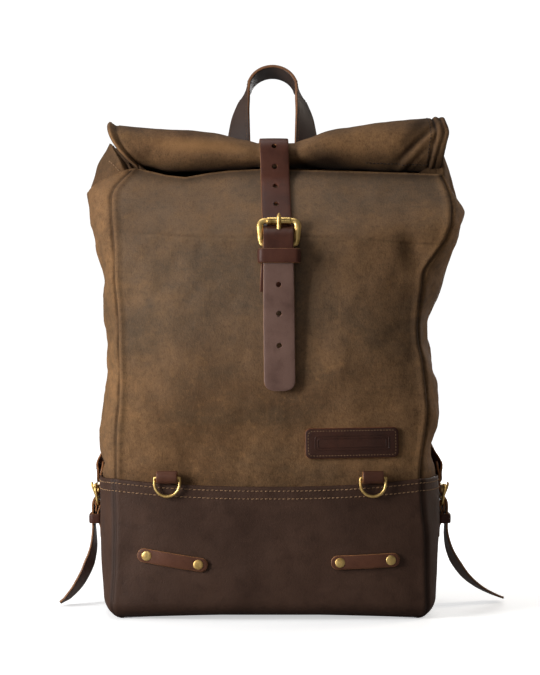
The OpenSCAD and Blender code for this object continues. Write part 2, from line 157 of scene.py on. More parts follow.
def grid_faces(n, m, close_m=False, close_n=False, base=0, flip=False):
    f = []
    for i in range(n if close_n else n - 1):
        i2 = (i + 1) % n
        for j in range(m if close_m else m - 1):
            j2 = (j + 1) % m
            q = (base + i * m + j, base + i * m + j2, base + i2 * m + j2, base + i2 * m + j)
            f.append(q[::-1] if flip else q)
    return f


def fan(ring, centre, flip=False):
    m = len(ring)
    return [((ring[(k + 1) % m], ring[k], centre) if flip else (ring[k], ring[(k + 1) % m], centre)) for k in range(m)]


def loft(name, rings, mat, caps=True, attrs=None, close_n=False, sharp=None, flip=False):
    """rings: (n, m, 3) closed rings, in mm."""
    R = np.asarray(rings, float)
    n, m = R.shape[:2]
    V = R.reshape(-1, 3)
    F = grid_faces(n, m, close_m=True, close_n=close_n, flip=flip)
    extra = {k: list(np.asarray(a, float).reshape(-1)) for k, a in (attrs or {}).items()}
    if caps and not close_n:
        V = np.vstack([V, R[0].mean(0), R[-1].mean(0)])
        F += fan(list(range(m)), n * m, flip=not flip)
        F += fan([(n - 1) * m + k for k in range(m)], n * m + 1, flip=flip)
        for k in extra:
            extra[k] += [extra[k][0], extra[k][-1]]
    return make(name, V, F, mat, extra, sharp=sharp)


def band_ring(w, t, crown=0.0, corner=None):
    """Rounded strip section: list of (across, out, edge) points, going round."""
    r = min(0.45 * t, 0.9) if corner is None else corner
    hw, ht = w / 2, t / 2
    pts = []
    for cx, cz, a0 in ((hw - r, ht - r, 0), (-hw + r, ht - r, 90), (-hw + r, -ht + r, 180), (hw - r, -ht + r, 270)):
        for a in (0, 30, 60, 90):
            A = math.radians(a0 + a)
            pts.append((cx + r * math.cos(A), cz + r * math.sin(A), 1.0 if a in (0, 30) and a0 in (0, 180) or a in (60, 90) and a0 in (90, 270) else 0.0))
        if a0 in (0, 180):
            s = 1 if a0 == 0 else -1
            for q in (0.78, 0.45, 0.0, -0.45, -0.78):
                x = s * q * (hw - r)
                pts.append((x, s * (ht + (crown * (1 - (x / hw) ** 2) if s > 0 else 0)), 0.0))
    return np.array(pts)


def strip(name, C, W, N, w, t, mat, crown=0.0, caps=True, wear=None, close=False):
    """A strap: C centre points, W width directions, N outward directions; w and t may vary."""
    C, W, N = (np.asarray(a, float) for a in (C, W, N))
    n = len(C)
    w = np.broadcast_to(np.asarray(w, float), (n,))
    t = np.broadcast_to(np.asarray(t, float), (n,))
    rings, edge = [], []
    for i in range(n):
        s = band_ring(w[i], t[i], crown)
        rings.append(C[i] + s[:, :1] * W[i] + s[:, 1:2] * N[i])
        edge.append(s[:, 2])
    at = {"edge": edge, "wear": np.zeros((n, len(edge[0])))}
    cr = np.cross(W[n // 2], N[n // 2]) @ (C[min(n // 2 + 1, n - 1)] - C[n // 2 - 1])
    return loft(name, rings, mat, caps=caps and not close, attrs=at, close_n=close, flip=cr > 0)


def join(name, objs, mat=None):
    """One mesh from several meshes, with no operators."""
    V, F, A, mats, mi, base = [], [], {}, [], [], 0
    keys = set()
    for o in objs:
        for a in o.data.attributes:
            if a.domain == "POINT" and a.data_type == "FLOAT":
                keys.add(a.name)
    for o in objs:
        me = o.data
        n = len(me.vertices)
        co = np.empty(n * 3)
        me.vertices.foreach_get("co", co)
        V.append(co.reshape(-1, 3))
        slot_of = []
        for m_ in me.materials:
            if m_ not in mats:
                mats.append(m_)
            slot_of.append(mats.index(m_))
        for p in me.polygons:
            F.append([base + v for v in p.vertices])
            mi.append(slot_of[p.material_index] if slot_of else 0)
        for k in keys:
            v = np.zeros(n, np.float32)
            if k in me.attributes:
                me.attributes[k].data.foreach_get("value", v)
            A.setdefault(k, []).append(v)
        base += n
    V = np.vstack(V)
    me = bpy.data.meshes.new(name)
    me.from_pydata([tuple(v) for v in V], [], F)
    for k, v in A.items():
        at = me.attributes.new(k, "FLOAT", "POINT")
        at.data.foreach_set("value", np.concatenate(v))
    for m_ in ([mat] if mat else mats):
        me.materials.append(m_)
    me.polygons.foreach_set("use_smooth", [True] * len(me.polygons))
    if not mat:
        me.polygons.foreach_set("material_index", mi)
    me.update()
    for o in objs:
        old = o.data
        bpy.data.objects.remove(o)
        bpy.data.meshes.remove(old)
    o = bpy.data.objects.new(name, me)
    coll.objects.link(o)
    return o


def tube(name, C, r, mat, n=12, closed=False, up=(0, 1, 0), flat=1.0):
    """Round or oval bar along C, r may vary; flat squashes it along the up direction."""
    C = np.asarray(C, float)
    m = len(C)
    T = unit(np.roll(C, -1, 0) - np.roll(C, 1, 0)) if closed else tangents(C)
    r = np.broadcast_to(np.asarray(r, float), (m,))
    U = np.asarray(up, float)
    rings = []
    for i in range(m):
        a = unit(np.cross(T[i], U))
        b = unit(np.cross(a, T[i]))
        rings.append([C[i] + r[i] * (math.cos(k) * a + flat * math.sin(k) * b) for k in np.linspace(0, 2 * math.pi, n, endpoint=False)])
    return loft(name, rings, mat, caps=not closed, close_n=closed, flip=True)


def lathe(name, prof, centre, axis, mat, n=32, attrs=None):
    """prof: (along axis, radius). Closed at both ends by points near the axis."""
    ax = unit(axis)
    u = unit(np.cross(ax, arr(0.1, 0.2, 0.97) if abs(ax[2]) < 0.9 else arr(1, 0, 0)))
    w = np.cross(ax, u)
    rings = [[centre + ax * h + rad * (math.cos(a) * u + math.sin(a) * w) for a in np.linspace(0, 2 * math.pi, n, endpoint=False)] for h, rad in prof]
    return loft(name, rings, mat, caps=True, flip=False, attrs={"wear": np.full((len(prof), n), 0.0), "edge": np.zeros((len(prof), n))})


STITCH = []


def stitches(body, P, N, pitch=3.4, run=2.35, r=0.36, sink=0.28, lift=0.12, mat=None, slant=0.0):
    """Thread along the line P on a surface with outward directions N."""
    P = np.asarray(P, float)
    N = np.asarray(N, float)
    L = length(P)
    n = max(2, int(round(L / pitch)))
    Q = resample(np.hstack([P, N]), n * 2 + 1)
    V, F = [], []
    for i in range(n):
        c, nn = Q[2 * i + 1, :3], unit(Q[2 * i + 1, 3:])
        t = unit(Q[2 * i + 2, :3] - Q[2 * i, :3])
        b = unit(np.cross(nn, t))
        t = unit(t + slant * b)
        b = unit(np.cross(nn, t))
        base = len(V)
        k = 6
        for j, s in enumerate((-1, -0.8, -0.35, 0.35, 0.8, 1)):
            rr = r * (0.45, 0.85, 1.0, 1.0, 0.85, 0.45)[j]
            h = lift * (1 - s * s) - sink * abs(s) ** 4
            for a in range(k):
                A = 2 * math.pi * a / k
                V.append(c + t * (s * run / 2) + nn * (h + rr * math.sin(A)) + b * rr * math.cos(A))
        F += grid_faces(6, k, close_m=True, base=base)
        F.append(tuple(base + q for q in range(k))[::-1])
        F.append(tuple(base + 5 * k + q for q in range(k)))
    o = make("thread", V, F, mat or THREAD)
    STITCH.append((body, o))
    return o


# ------------------------------------------------------------------ materials
def new_mat(name):
    m = bpy.data.materials.new(name)
    m.use_nodes = True
    nt = m.node_tree
    for n_ in list(nt.nodes):
        if n_.type not in ("BSDF_PRINCIPLED", "OUTPUT_MATERIAL"):
            nt.nodes.remove(n_)
    b = next(n_ for n_ in nt.nodes if n_.type == "BSDF_PRINCIPLED")
    return m, nt, b


class G:
    """Short hands for building a node graph."""

    def __init__(self, nt):
        self.nt = nt

    def n(self, kind, **kw):
        x = self.nt.nodes.new(kind)
        for k, v in kw.items():
            setattr(x, k, v)
        return x

    def link(self, a, b):
        self.nt.links.new(a, b)

    def coord(self, scale=(1, 1, 1), rot=(0, 0, 0)):
        t = self.n("ShaderNodeTexCoord")
        m = self.n("ShaderNodeMapping")
        m.inputs["Scale"].default_value = scale
        m.inputs["Rotation"].default_value = rot
        self.link(t.outputs["Object"], m.inputs["Vector"])
        return m.outputs["Vector"]

    def noise(self, scale, detail=6, rough=0.55, vec=None, dist=0.0):
        x = self.n("ShaderNodeTexNoise")
        x.inputs["Scale"].default_value = scale
        x.inputs["Detail"].default_value = detail
        x.inputs["Roughness"].default_value = rough
        x.inputs["Distortion"].default_value = dist
        if vec is not None:
            self.link(vec, x.inputs["Vector"])
        return x.outputs["Fac"]

    def voronoi(self, scale, feature="F1", vec=None, rnd=1.0):
        x = self.n("ShaderNodeTexVoronoi", feature=feature)
        x.inputs["Scale"].default_value = scale
        x.inputs["Randomness"].default_value = rnd
        if vec is not None:
            self.link(vec, x.inputs["Vector"])
        return x.outputs["Distance"]

    def ramp(self, fac, stops, mode="LINEAR"):
        x = self.n("ShaderNodeValToRGB")
        x.color_ramp.interpolation = mode
        els = x.color_ramp.elements
        while len(els) > 1:
            els.remove(els[-1])
        first = True
        for p, c in stops:
            c = c if hasattr(c, "__len__") else (c, c, c)
            e = els[0] if first else els.new(p)
            e.position = p
            e.color = (*c[:3], 1)
            first = False
        self.link(fac, x.inputs["Fac"])
        return x.outputs["Color"]

    def mix(self, a, b, fac, mode="MIX"):
        x = self.n("ShaderNodeMix", data_type="RGBA", blend_type=mode)
        for sock, v in ((x.inputs[0], fac), (x.inputs[6], a), (x.inputs[7], b)):
            if isinstance(v, (int, float)):
                sock.default_value = v
            elif isinstance(v, tuple):
                sock.default_value = (*v[:3], 1)
            else:
                self.link(v, sock)
        return x.outputs[2]

    def math(self, op, a, b=0.0, clamp=False):
        x = self.n("ShaderNodeMath", operation=op, use_clamp=clamp)
        for sock, v in ((x.inputs[0], a), (x.inputs[1], b)):
            if isinstance(v, (int, float)):
                sock.default_value = v
            else:
                self.link(v, sock)
        return x.outputs[0]

    def attr(self, name):
        x = self.n("ShaderNodeAttribute", attribute_name=name)
        return x.outputs["Fac"]

    def bump(self, h, strength, dist, normal=None):
        x = self.n("ShaderNodeBump")
        x.inputs["Strength"].default_value = strength
        x.inputs["Distance"].default_value = dist
        self.link(h, x.inputs["Height"])
        if normal is not None:
            self.link(normal, x.inputs["Normal"])
        return x.outputs["Normal"]


def lin(r, g, b):
    f = lambda c: (c / 255 / 12.92) if c / 255 <= 0.04045 else ((c / 255 + 0.055) / 1.055) ** 2.4
    return (f(r), f(g), f(b))


def waxed(name, dark, mid, light, green):
    """Waxed, rubbed pull-up leather: broad patches, dark smears, fine nap and grain."""
    m, nt, b = new_mat(name)
    g = G(nt)
    v = g.coord()
    big = g.noise(6.5, 6, 0.6, v, 0.5)
    smear = g.noise(11.0, 9, 0.74, g.coord((0.75, 1.0, 1.7), (0.0, 0.25, 0.0)), 0.35)
    med = g.noise(42.0, 8, 0.72, v, 0.2)
    fine = g.noise(210.0, 8, 0.78, v)
    nap = g.noise(700.0, 5, 0.75, g.coord((1, 1, 0.6), (0, 0.5, 0)))
    col = g.ramp(big, [(0.32, dark), (0.5, mid), (0.7, light)])
    col = g.mix(col, green, g.ramp(smear, [(0.46, 0.0), (0.62, 0.5), (0.78, 0.8)]))
    col = g.mix(col, light, g.ramp(smear, [(0.26, 0.55), (0.42, 0.0)]))
    col = g.mix(col, tuple(c * 0.62 for c in dark), g.ramp(med, [(0.28, 0.42), (0.48, 0.0)]))
    col = g.mix(col, tuple(c * 1.22 for c in light), g.ramp(med, [(0.55, 0.0), (0.78, 0.5)]))
    col = g.mix(col, tuple(c * 0.4 for c in dark), g.ramp(fine, [(0.32, 0.42), (0.50, 0.0)]))
    col = g.mix(col, tuple(c * 1.5 for c in light), g.ramp(fine, [(0.56, 0.0), (0.78, 0.42)]))
    col = g.mix(col, tuple(c * 0.45 for c in dark), g.ramp(nap, [(0.36, 0.4), (0.5, 0.0)]))
    for rot, sc, amt in (((0.2, 0.9, 0.9), 150.0, 0.16), ((0.9, 1.4, 0.3), 190.0, 0.12)):
        q = g.noise(sc, 3, 0.5, g.coord((1, 1, 0.08), rot), 0.2)
        col = g.mix(col, tuple(c * 1.6 for c in light), g.ramp(q, [(0.68, 0.0), (0.76, amt)]))
    col = g.mix(col, lin(100, 90, 79), g.math("MULTIPLY", g.attr("cool"), g.ramp(med, [(0.3, 1.0), (0.75, 0.6)]), True))
    # The point value read here darkens where positive, for real seam and edge darkening and for painted shade, and
    # lightens where negative, as painted highlight.
    wear = g.attr("wear")
    col = g.mix(col, tuple(c * 0.2 for c in dark), g.math("MULTIPLY", wear, 1.0, True))
    col = g.mix(col, tuple(c * 1.35 for c in light), g.math("MULTIPLY", wear, -1.0, True))
    g.link(col, b.inputs["Base Color"])
    g.link(g.ramp(med, [(0.3, 0.62), (0.7, 0.84)]), b.inputs["Roughness"])
    b.inputs["Specular IOR Level"].default_value = 0.13
    b.inputs["Sheen Weight"].default_value = 0.02
    b.inputs["Sheen Roughness"].default_value = 0.5
    pores = g.voronoi(760.0, "F1", v)
    cells = g.voronoi(430.0, "DISTANCE_TO_EDGE", v)
    h = g.math("ADD", g.math("MULTIPLY", g.ramp(cells, [(0.0, 0.0), (0.16, 1.0)]), 0.3), g.math("MULTIPLY", pores, 0.35))
    h = g.math("ADD", h, g.math("MULTIPLY", fine, 0.8))
    n1 = g.bump(med, 0.3, 0.0018)
    g.link(g.bump(h, 0.5, 0.0005, n1), b.inputs["Normal"])
    return m


def smooth_leather(name, dark, light, rough=(0.42, 0.6), grain=420.0, grain_h=0.28, edge=None, spec=0.4, scuff=0.25):
    """Finished leather; the point value "edge" shows the cut edge's own colour."""
    m, nt, b = new_mat(name)
    g = G(nt)
    v = g.coord()
    big = g.noise(14.0, 5, 0.6, v, 0.4)
    med = g.noise(75.0, 6, 0.65, v)
    fine = g.noise(520.0, 4, 0.7, v)
    col = g.ramp(big, [(0.32, dark), (0.68, light)])
    col = g.mix(col, tuple(c * 0.6 for c in dark), g.ramp(med, [(0.28, 0.45), (0.5, 0.0)]))
    col = g.mix(col, tuple(c * 1.6 for c in light), g.ramp(fine, [(0.62, 0.0), (0.82, scuff)]))
    s = g.noise(60.0, 3, 0.5, g.coord((1, 1, 0.06), (0.3, 0.6, 0.2)), 0.2)
    col = g.mix(col, tuple(c * 1.8 for c in light), g.ramp(s, [(0.68, 0.0), (0.75, scuff)]))
    # The point value read here darkens where positive: real seam and edge darkening, and painted shade on the base's
    # lowest band, the hole walls and the strap inside the buckle.
    wear = g.attr("wear")
    col = g.mix(col, tuple(c * 0.3 for c in dark), g.math("MULTIPLY", wear, 1.0, True))
    if edge:
        e = g.attr("edge")
        ec = g.mix(edge, tuple(c * 0.55 for c in edge), g.ramp(g.noise(300.0, 4, 0.6, v), [(0.35, 0.0), (0.7, 1.0)]))
        col = g.mix(col, ec, g.ramp(e, [(0.35, 0.0), (0.85, 1.0)]))
    g.link(col, b.inputs["Base Color"])
    g.link(g.ramp(med, [(0.3, rough[0]), (0.7, rough[1])]), b.inputs["Roughness"])
    b.inputs["Specular IOR Level"].default_value = spec
    cells = g.voronoi(grain, "DISTANCE_TO_EDGE", v)
    pores = g.voronoi(grain * 2.1, "F1", v)
    h = g.math("ADD", g.math("MULTIPLY", g.ramp(cells, [(0.0, 0.0), (0.2, 1.0)]), 0.6), g.math("MULTIPLY", pores, 0.35))
    n1 = g.bump(med, 0.22, 0.0012)
    g.link(g.bump(h, grain_h, 0.00035, n1), b.inputs["Normal"])
    return m


def brass_mat(name, base, dark, rough=0.3):
    m, nt, b = new_mat(name)
    g = G(nt)
    v = g.coord()
    a = g.noise(130.0, 6, 0.65, v, 0.3)
    s = g.noise(420.0, 4, 0.6, g.coord((1, 1, 0.15), (0.4, 0.2, 0.8)))
    col = g.ramp(a, [(0.30, dark), (0.52, base), (0.8, tuple(min(1, c * 1.12) for c in base))])
    g.link(col, b.inputs["Base Color"])
    b.inputs["Metallic"].default_value = 1.0
    g.link(g.ramp(s, [(0.3, rough * 0.75), (0.7, rough * 1.5)]), b.inputs["Roughness"])
    g.link(g.bump(s, 0.1, 0.0001, g.bump(a, 0.08, 0.0003)), b.inputs["Normal"])
    return m


def cloth_mat(name, a, c, threads=1500.0, rough=0.9):
    m, nt, b = new_mat(name)
    g = G(nt)
    v = g.coord()
    w1 = g.n("ShaderNodeTexWave", wave_type="BANDS", bands_direction="Z")
    w2 = g.n("ShaderNodeTexWave", wave_type="BANDS", bands_direction="X")
    w3 = g.n("ShaderNodeTexWave", wave_type="BANDS", bands_direction="Y")
    for w in (w1, w2, w3):
        w.inputs["Scale"].default_value = threads / 6.283
        w.inputs["Distortion"].default_value = 0.6
        g.link(v, w.inputs["Vector"])
    h = g.math("MULTIPLY", w1.outputs["Fac"], g.math("MAXIMUM", w2.outputs["Fac"], w3.outputs["Fac"]))
    col = g.mix(a, c, g.ramp(h, [(0.1, 1.0), (0.7, 0.0)]))
    col = g.mix(col, tuple(x * 0.7 for x in a), g.ramp(g.noise(18.0, 5, 0.6, v), [(0.4, 0.0), (0.75, 0.5)]))
    g.link(col, b.inputs["Base Color"])
    g.link(g.ramp(g.noise(60.0, 4, 0.6, v), [(0.3, rough - 0.08), (0.7, min(1, rough + 0.06))]), b.inputs["Roughness"])
    b.inputs["Sheen Weight"].default_value = 0.2
    g.link(g.bump(h, 0.5, 0.0004), b.inputs["Normal"])
    return m


def thread_mat(name, c):
    m, nt, b = new_mat(name)
    g = G(nt)
    v = g.coord()
    w = g.n("ShaderNodeTexWave", wave_type="BANDS", bands_direction="DIAGONAL")
    w.inputs["Scale"].default_value = 420.0
    g.link(v, w.inputs["Vector"])
    g.link(g.mix(c, tuple(x * 0.5 for x in c), g.ramp(g.noise(160.0, 4, 0.6, v), [(0.35, 0.0), (0.75, 0.8)])), b.inputs["Base Color"])
    g.link(g.ramp(g.noise(300.0, 3, 0.5, v), [(0.3, 0.7), (0.7, 0.9)]), b.inputs["Roughness"])
    g.link(g.bump(w.outputs["Fac"], 0.5, 0.0002), b.inputs["Normal"])
    return m


WAX = waxed("waxed_leather", lin(92, 65, 42), lin(131, 98, 67), lin(156, 115, 74), lin(76, 64, 49))
BASE = smooth_leather("base_leather", lin(60, 40, 30), lin(78, 55, 43), rough=(0.5, 0.66), grain=300.0, grain_h=0.3, edge=lin(74, 50, 38), spec=0.22, scuff=0.12)
STRAP = smooth_leather("strap_leather", lin(62, 32, 23), lin(92, 53, 39), rough=(0.4, 0.56), grain=520.0, grain_h=0.18, edge=lin(160, 108, 66), spec=0.25, scuff=0.2)
HANDLE = smooth_leather("handle_leather", lin(52, 38, 32), lin(70, 54, 46), rough=(0.42, 0.56), grain=520.0, grain_h=0.18, edge=lin(140, 94, 60), spec=0.42, scuff=0.2)
# A lighter, glossier copy of the strap leather for the hanging ends: its lighter colour is painted sheen from the key
# light.
TAIL_PAINTED_SHEEN = smooth_leather("tail_leather", lin(95, 66, 56), lin(123, 93, 81), rough=(0.38, 0.52), grain=520.0, grain_h=0.16, edge=lin(156, 108, 68), spec=0.55, scuff=0.15)
TAB = smooth_leather("tab_leather", lin(74, 41, 28), lin(103, 63, 44), rough=(0.42, 0.58), grain=480.0, grain_h=0.22, edge=lin(176, 120, 74), spec=0.32, scuff=0.25)
PATCH = smooth_leather("patch_leather", lin(44, 24, 17), lin(75, 42, 29), rough=(0.44, 0.6), grain=480.0, grain_h=0.25, edge=lin(140, 84, 50), spec=0.3, scuff=0.3)
BRASS = brass_mat("antique_brass", lin(244, 208, 134), lin(196, 154, 88), 0.42)
BRASS_D = brass_mat("antique_brass_roller", lin(244, 208, 132), lin(168, 128, 70), 0.28)
CANVAS = cloth_mat("lining_canvas", lin(170, 152, 120), lin(120, 104, 78))
BOARD = smooth_leather("stiffener_board", lin(96, 84, 66), lin(120, 106, 84), rough=(0.75, 0.9), grain=260.0, grain_h=0.15, spec=0.2)
THREAD = thread_mat("thread_tan", lin(158, 122, 88))
THREAD_D = thread_mat("thread_brown", lin(112, 80, 56))
THREAD_K = thread_mat("thread_dark", lin(40, 29, 20))

# ------------------------------------------------------------------ the bag's shape, from height to section
xL = smooth_curve([(0, 144), (17, 143), (41, 140), (77, 138), (131, 139), (164, 139), (178, 138.3), (188, 136.9), (212, 136.1), (245, 136.9), (274, 137.3), (291, 138.9), (304, 140.4), (335, 140.7), (355, 142.4), (380, 145), (388.6, 144.3), (394.5, 140.3), (401.7, 135), (408, 128)], 3)
xR = smooth_curve([(0, 144), (12.6, 142.5), (40, 141), (76, 139), (94, 136.4), (111, 135), (134, 136), (149, 137.4), (163, 139.9), (175, 141.8), (187, 142.8), (202, 141.8), (219, 140), (236, 138), (247, 135), (264, 133.6), (284, 135.5), (299.5, 137.6), (311, 138.6), (317.5, 141.1), (330, 150.1), (340, 157.6), (355, 164), (373.5, 165.8), (384, 165), (392, 162.5), (400.6, 160), (408, 156)], 3)
gL = smooth_curve([(0, 152), (16, 154), (45, 155.2), (101, 156.2), (123, 156.6), (129, 158), (133, 157), (137, 155), (142, 157.8), (148, 159.3), (159, 160.2), (177, 159.3), (198, 156.8), (212, 153.8), (223, 151.1), (240, 150.7), (253, 151), (260, 152.5), (270, 155.1), (280, 155.8), (291, 155.4), (305.5, 153.7), (312, 154.1), (324, 158.8), (342, 163), (362, 167.7), (374, 169.8), (385, 172.4), (391.6, 172.4), (399, 168), (405.6, 163.4), (416, 157)], 2.2)
gR = smooth_curve([(0, 152), (12, 154), (45, 155.2), (101, 156), (114, 155), (124, 154.5), (130.5, 154.9), (137.7, 152.8), (142.3, 149.5), (151, 150), (159, 151.3), (166, 153.9), (172, 156.4), (179.5, 157.4), (197, 157.9), (211, 155.9), (227, 152.8), (244, 149.3), (255, 146.9), (268, 146.2), (277, 150.1), (283, 153.8), (293, 159.5), (305.5, 162.7), (321, 166.4), (336, 170), (351, 173.7), (360, 175.8), (369.6, 180), (373.7, 179.4), (380, 174.7), (387, 169.5), (394.7, 167.4), (404, 166.4), (411.5, 163.6)], 2.2)
BEND_Z, SLOPE = 347.0, 0.803
LIP = [(-150, 408.2), (-124, 408.4), (-114, 406), (-95, 402), (-75, 399.6), (-58, 403.4), (-40, 406), (-9, 407.9), (18, 407.2), (83, 405.4), (140, 403.6), (160, 402.6)]


def lip_z(x):
    return np.interp(x, [p[0] for p in LIP], [p[1] for p in LIP])


def smax(a, b, k=5.0):
    h = np.clip(0.5 + 0.5 * (a - b) / k, 0, 1)
    return b + (a - b) * h + k * h * (1 - h)


def front_y(t, z):
    y = -66 - 9 * (1 - np.abs(t) ** 3.4)
    return smax(y, -75 + (z - BEND_Z) * SLOPE, 7.0)


# perimeter: (segment, parameter) with points bunched at the four seams
def bunched(n, L):
    d = np.array([0, 0.7, 1.4, 2.2, 3.2, 4.6, 6.5, 9.0])
    a = d / L
    mid = np.linspace(a[-1], 1 - a[-1], n)[1:-1]
    return np.r_[a, mid, 1 - a[::-1]]


SEG = []
for name_, n_, L_ in (("f", 96, 280.0), ("r", 46, 132.0), ("b", 60, 282.0), ("l", 46, 132.0)):
    for q in bunched(n_, L_)[:-1]:
        SEG.append((name_, q, min(q, 1 - q) * L_))
SEG_N = np.array([s[0] for s in SEG])
SEG_Q = np.array([s[1] for s in SEG])
SEG_D = np.array([s[2] for s in SEG])
M = len(SEG)


def section(z):
    """z: one height per perimeter point. Returns (M, 2) x and y."""
    z = np.broadcast_to(np.asarray(z, float), (M,))
    P = np.zeros((M, 2))
    q = SEG_Q
    f, r, b, l = (SEG_N == k for k in "frbl")
    P[f, 0] = -xL(z[f]) * (1 - q[f]) + xR(z[f]) * q[f]
    P[f, 1] = front_y(2 * q[f] - 1, z[f])
    xb = 141 + 3 * np.clip((z - 300) / 100, 0, 1)
    for k, xs, gs, sg in ((r, xR, gR, 1), (l, xL, gL, -1)):
        s = q[k] if sg > 0 else 1 - q[k]
        zz = z[k]
        x0, y0 = xs(zz), front_y(np.full(zz.shape, 1.0), zz)
        A = gs(zz) - (x0 * 0.55 + xb[k] * 0.45)
        sh = (4 * s * (1 - s)) ** 0.7
        P[k, 0] = sg * (x0 * (1 - s) + xb[k] * s + A * sh)
        P[k, 1] = y0 * (1 - s) + 64 * s
    P[b, 0] = xb[b] * (1 - 2 * q[b])
    P[b, 1] = 64.0 + 0.8 * (1 - (2 * q[b] - 1) ** 4)
    return P


def round_off(P, k=3):
    """Softens the four corners of a ring."""
    w = np.exp(-(SEG_D / 7.0) ** 2)[:, None]
    for _ in range(k):
        a, b = np.roll(P, 1, 0), np.roll(P, -1, 0)
        da = np.linalg.norm(P - a, axis=1, keepdims=True) + 1e-6
        db = np.linalg.norm(P - b, axis=1, keepdims=True) + 1e-6
        Q = (a / da + b / db) / (1 / da + 1 / db)
        P = P * (1 - 0.75 * w) + Q * 0.75 * w
    return P


def ring_normals(P):
    t = np.roll(P, -1, 0) - np.roll(P, 1, 0)
    n = np.stack([t[:, 1], -t[:, 0]], 1)
    return unit(n)


def seam_profile(d, side):
    """Height of the leather at distance d from a corner seam."""
    groove = -1.5 * np.exp(-(d / 0.8) ** 2)
    puff = (1.3 if side == "f" else 0.3) * np.exp(-((d - 3.4) / 2.3) ** 2)
    return groove + puff


def crease_z(x):
    return 347.5 - 3.4 * (x + 115) / 115 + 1.5 * np.sin(x / 31.0)


def ztop(x_front=True):
    P = section(np.full(M, 404.0))
    t = np.full(M, 404.0)
    f = SEG_N == "f"
    t[f] = lip_z(P[f, 0])
    # the gusset's rim dips under the folded ear
    for k, sg, dip in (("r", 1, 373.0), ("l", -1, 388.5)):
        m = SEG_N == k
        s = SEG_Q[m] if sg > 0 else 1 - SEG_Q[m]
        t[m] = np.interp(s, [0, 0.08, 0.2, 0.36, 0.6, 0.8, 1.0], [lip_z(sg * 150.0), lip_z(sg * 150.0) - 5, 0.45 * 409 + 0.55 * dip, dip + 1, dip + 1, 0.5 * dip + 202, 404.0])
    return t


TOP = ztop()


ZS = np.sort(np.r_[np.linspace(0, 1, 150), np.linspace(0.775, 0.815, 26)])


def shell(z0, top, n, o=0.0, seam=True, lumps=1.0):
    rings, att = [], []
    for v in ZS:
        z = z0 + (top - z0) * v
        P = round_off(section(z))
        N = ring_normals(P)
        d = np.full(M, o)
        P3 = np.column_stack([P, z])
        if seam:
            d = d + np.where(SEG_N == "f", seam_profile(SEG_D, "f"), seam_profile(SEG_D, "g"))
        if lumps:
            soft = np.clip(SEG_D / 12, 0.25, 1)
            d = d + lumps * soft * (1.7 * fbm(P3, 16, 3, 3.1) + 0.55 * fbm(P3, 60, 3, 9.0))
            side = (SEG_N == "r") | (SEG_N == "l")
            fold = fbm(P3 * arr(1, 0.35, 1.0), 42, 3, 5.0)
            d = d + lumps * np.where(side, 1.5 * fold * np.clip((z - 120) / 60, 0, 1), 0)
            # dent by the right ear
            g2 = ((P[:, 0] - 129) * 1.25) ** 2 + ((z - 333) * 0.8 + (P[:, 0] - 129) * 0.35) ** 2
            d = d - np.where(SEG_N == "f", 4.4 * np.exp(-g2 / 170.0), 0)
            # a fine crease where the panel starts to lean
            d = d - np.where(SEG_N == "f", 0.45 * np.exp(-((z - crease_z(P[:, 0])) / 1.6) ** 2), 0)
        P = P + N * d[:, None]
        rings.append(np.column_stack([P, z]))
        w = 0.5 * np.exp(-(SEG_D / 0.9) ** 2) + 0.12 * np.exp(-(SEG_D / 5) ** 2)
        att.append(w)
    return np.array(rings), np.array(att)


body, wear = shell(104.0, TOP, 150)
# darker just above the base band; painted shade in the crease along the bend and under the roll
zz = body[:, :, 2]
wear += 0.22 * np.exp(-((zz - 126) / 9) ** 2)
frontm = (SEG_N == "f")[None, :]
wear += np.where(frontm, 0.5 * np.exp(-((TOP[None, :] - zz) / 5) ** 2), 0)
wear += np.where(frontm, 0.22 * np.exp(-((zz - crease_z(body[:, :, 0])) / 1.1) ** 2) * (0.6 + 0.4 * np.sin(body[:, :, 0] / 17.0)), 0)
xx_ = body[:, :, 0]
# painted shade towards the right side and a little painted light low on the left
wear += np.where(frontm, 0.15 * np.clip((xx_ - 40) / 90, 0, 1) + 0.26 * np.exp(-((zz - 270) / 60) ** 2) * np.clip((xx_ - 55) / 55, 0, 1) - 0.06 * np.exp(-((zz - 190) / 60) ** 2) * (xx_ < 0), 0)
cool = np.where(frontm, 0.52 * np.clip((zz - 175) / 110, 0, 1) * (1 - 0.85 * np.clip((xx_ - 15) / 90, 0, 1) * np.clip((380 - zz) / 40, 0, 1)), 0) * np.clip(SEG_D / 8, 0.2, 1)[None, :]
# turned lip, then down inside as the facing
last = body[-1]
Pn = ring_normals(last[:, :2])
rolls, rw = [], []
for a in (35, 70, 105, 140, 180):
    A = math.radians(a)
    r_ = 2.3
    p = last.copy()
    p[:, :2] -= Pn * (r_ * (1 - math.cos(A)))
    p[:, 2] += r_ * math.sin(A)
    rolls.append(p)
    rw.append(np.full(M, 0.15))
for dz in (3, 7, 12, 18, 24):
    p = last.copy()
    in_ = section(p[:, 2] - dz)
    q = round_off(in_)
    p[:, :2] = q - ring_normals(q) * 4.4
    p[:, 2] -= dz
    rolls.append(p)
    rw.append(np.full(M, 0.35))
allr = np.concatenate([body, np.array(rolls)])
allw = np.concatenate([wear, np.array(rw)])
bag = make("bag_panels", allr.reshape(-1, 3), grid_faces(len(allr), M, close_m=True), WAX, {"wear": allw.reshape(-1), "edge": np.zeros(allw.size), "cool": np.concatenate([cool, np.zeros_like(np.array(rw))]).reshape(-1)})
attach(bag, "bag")
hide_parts("front_panel", "back_panel", "gusset_left", "gusset_right", "mouth_facing")


def surf(x, z, o=0.0):
    """Point and outward direction on the bag's front at (x, z), o proud of the waxed leather."""
    t = (x + xL(z)) / (xL(z) + xR(z)) * 2 - 1
    y = float(front_y(np.array(t), np.array(z)))
    e = 0.5
    ty = (float(front_y(np.array((x + e + xL(z)) / (xL(z) + xR(z)) * 2 - 1), np.array(z))) - y) / e
    tz = (float(front_y(np.array(t), np.array(z + e))) - y) / e
    n = unit(arr(ty, -1, tz))
    return arr(x, y, z) + n * o, n


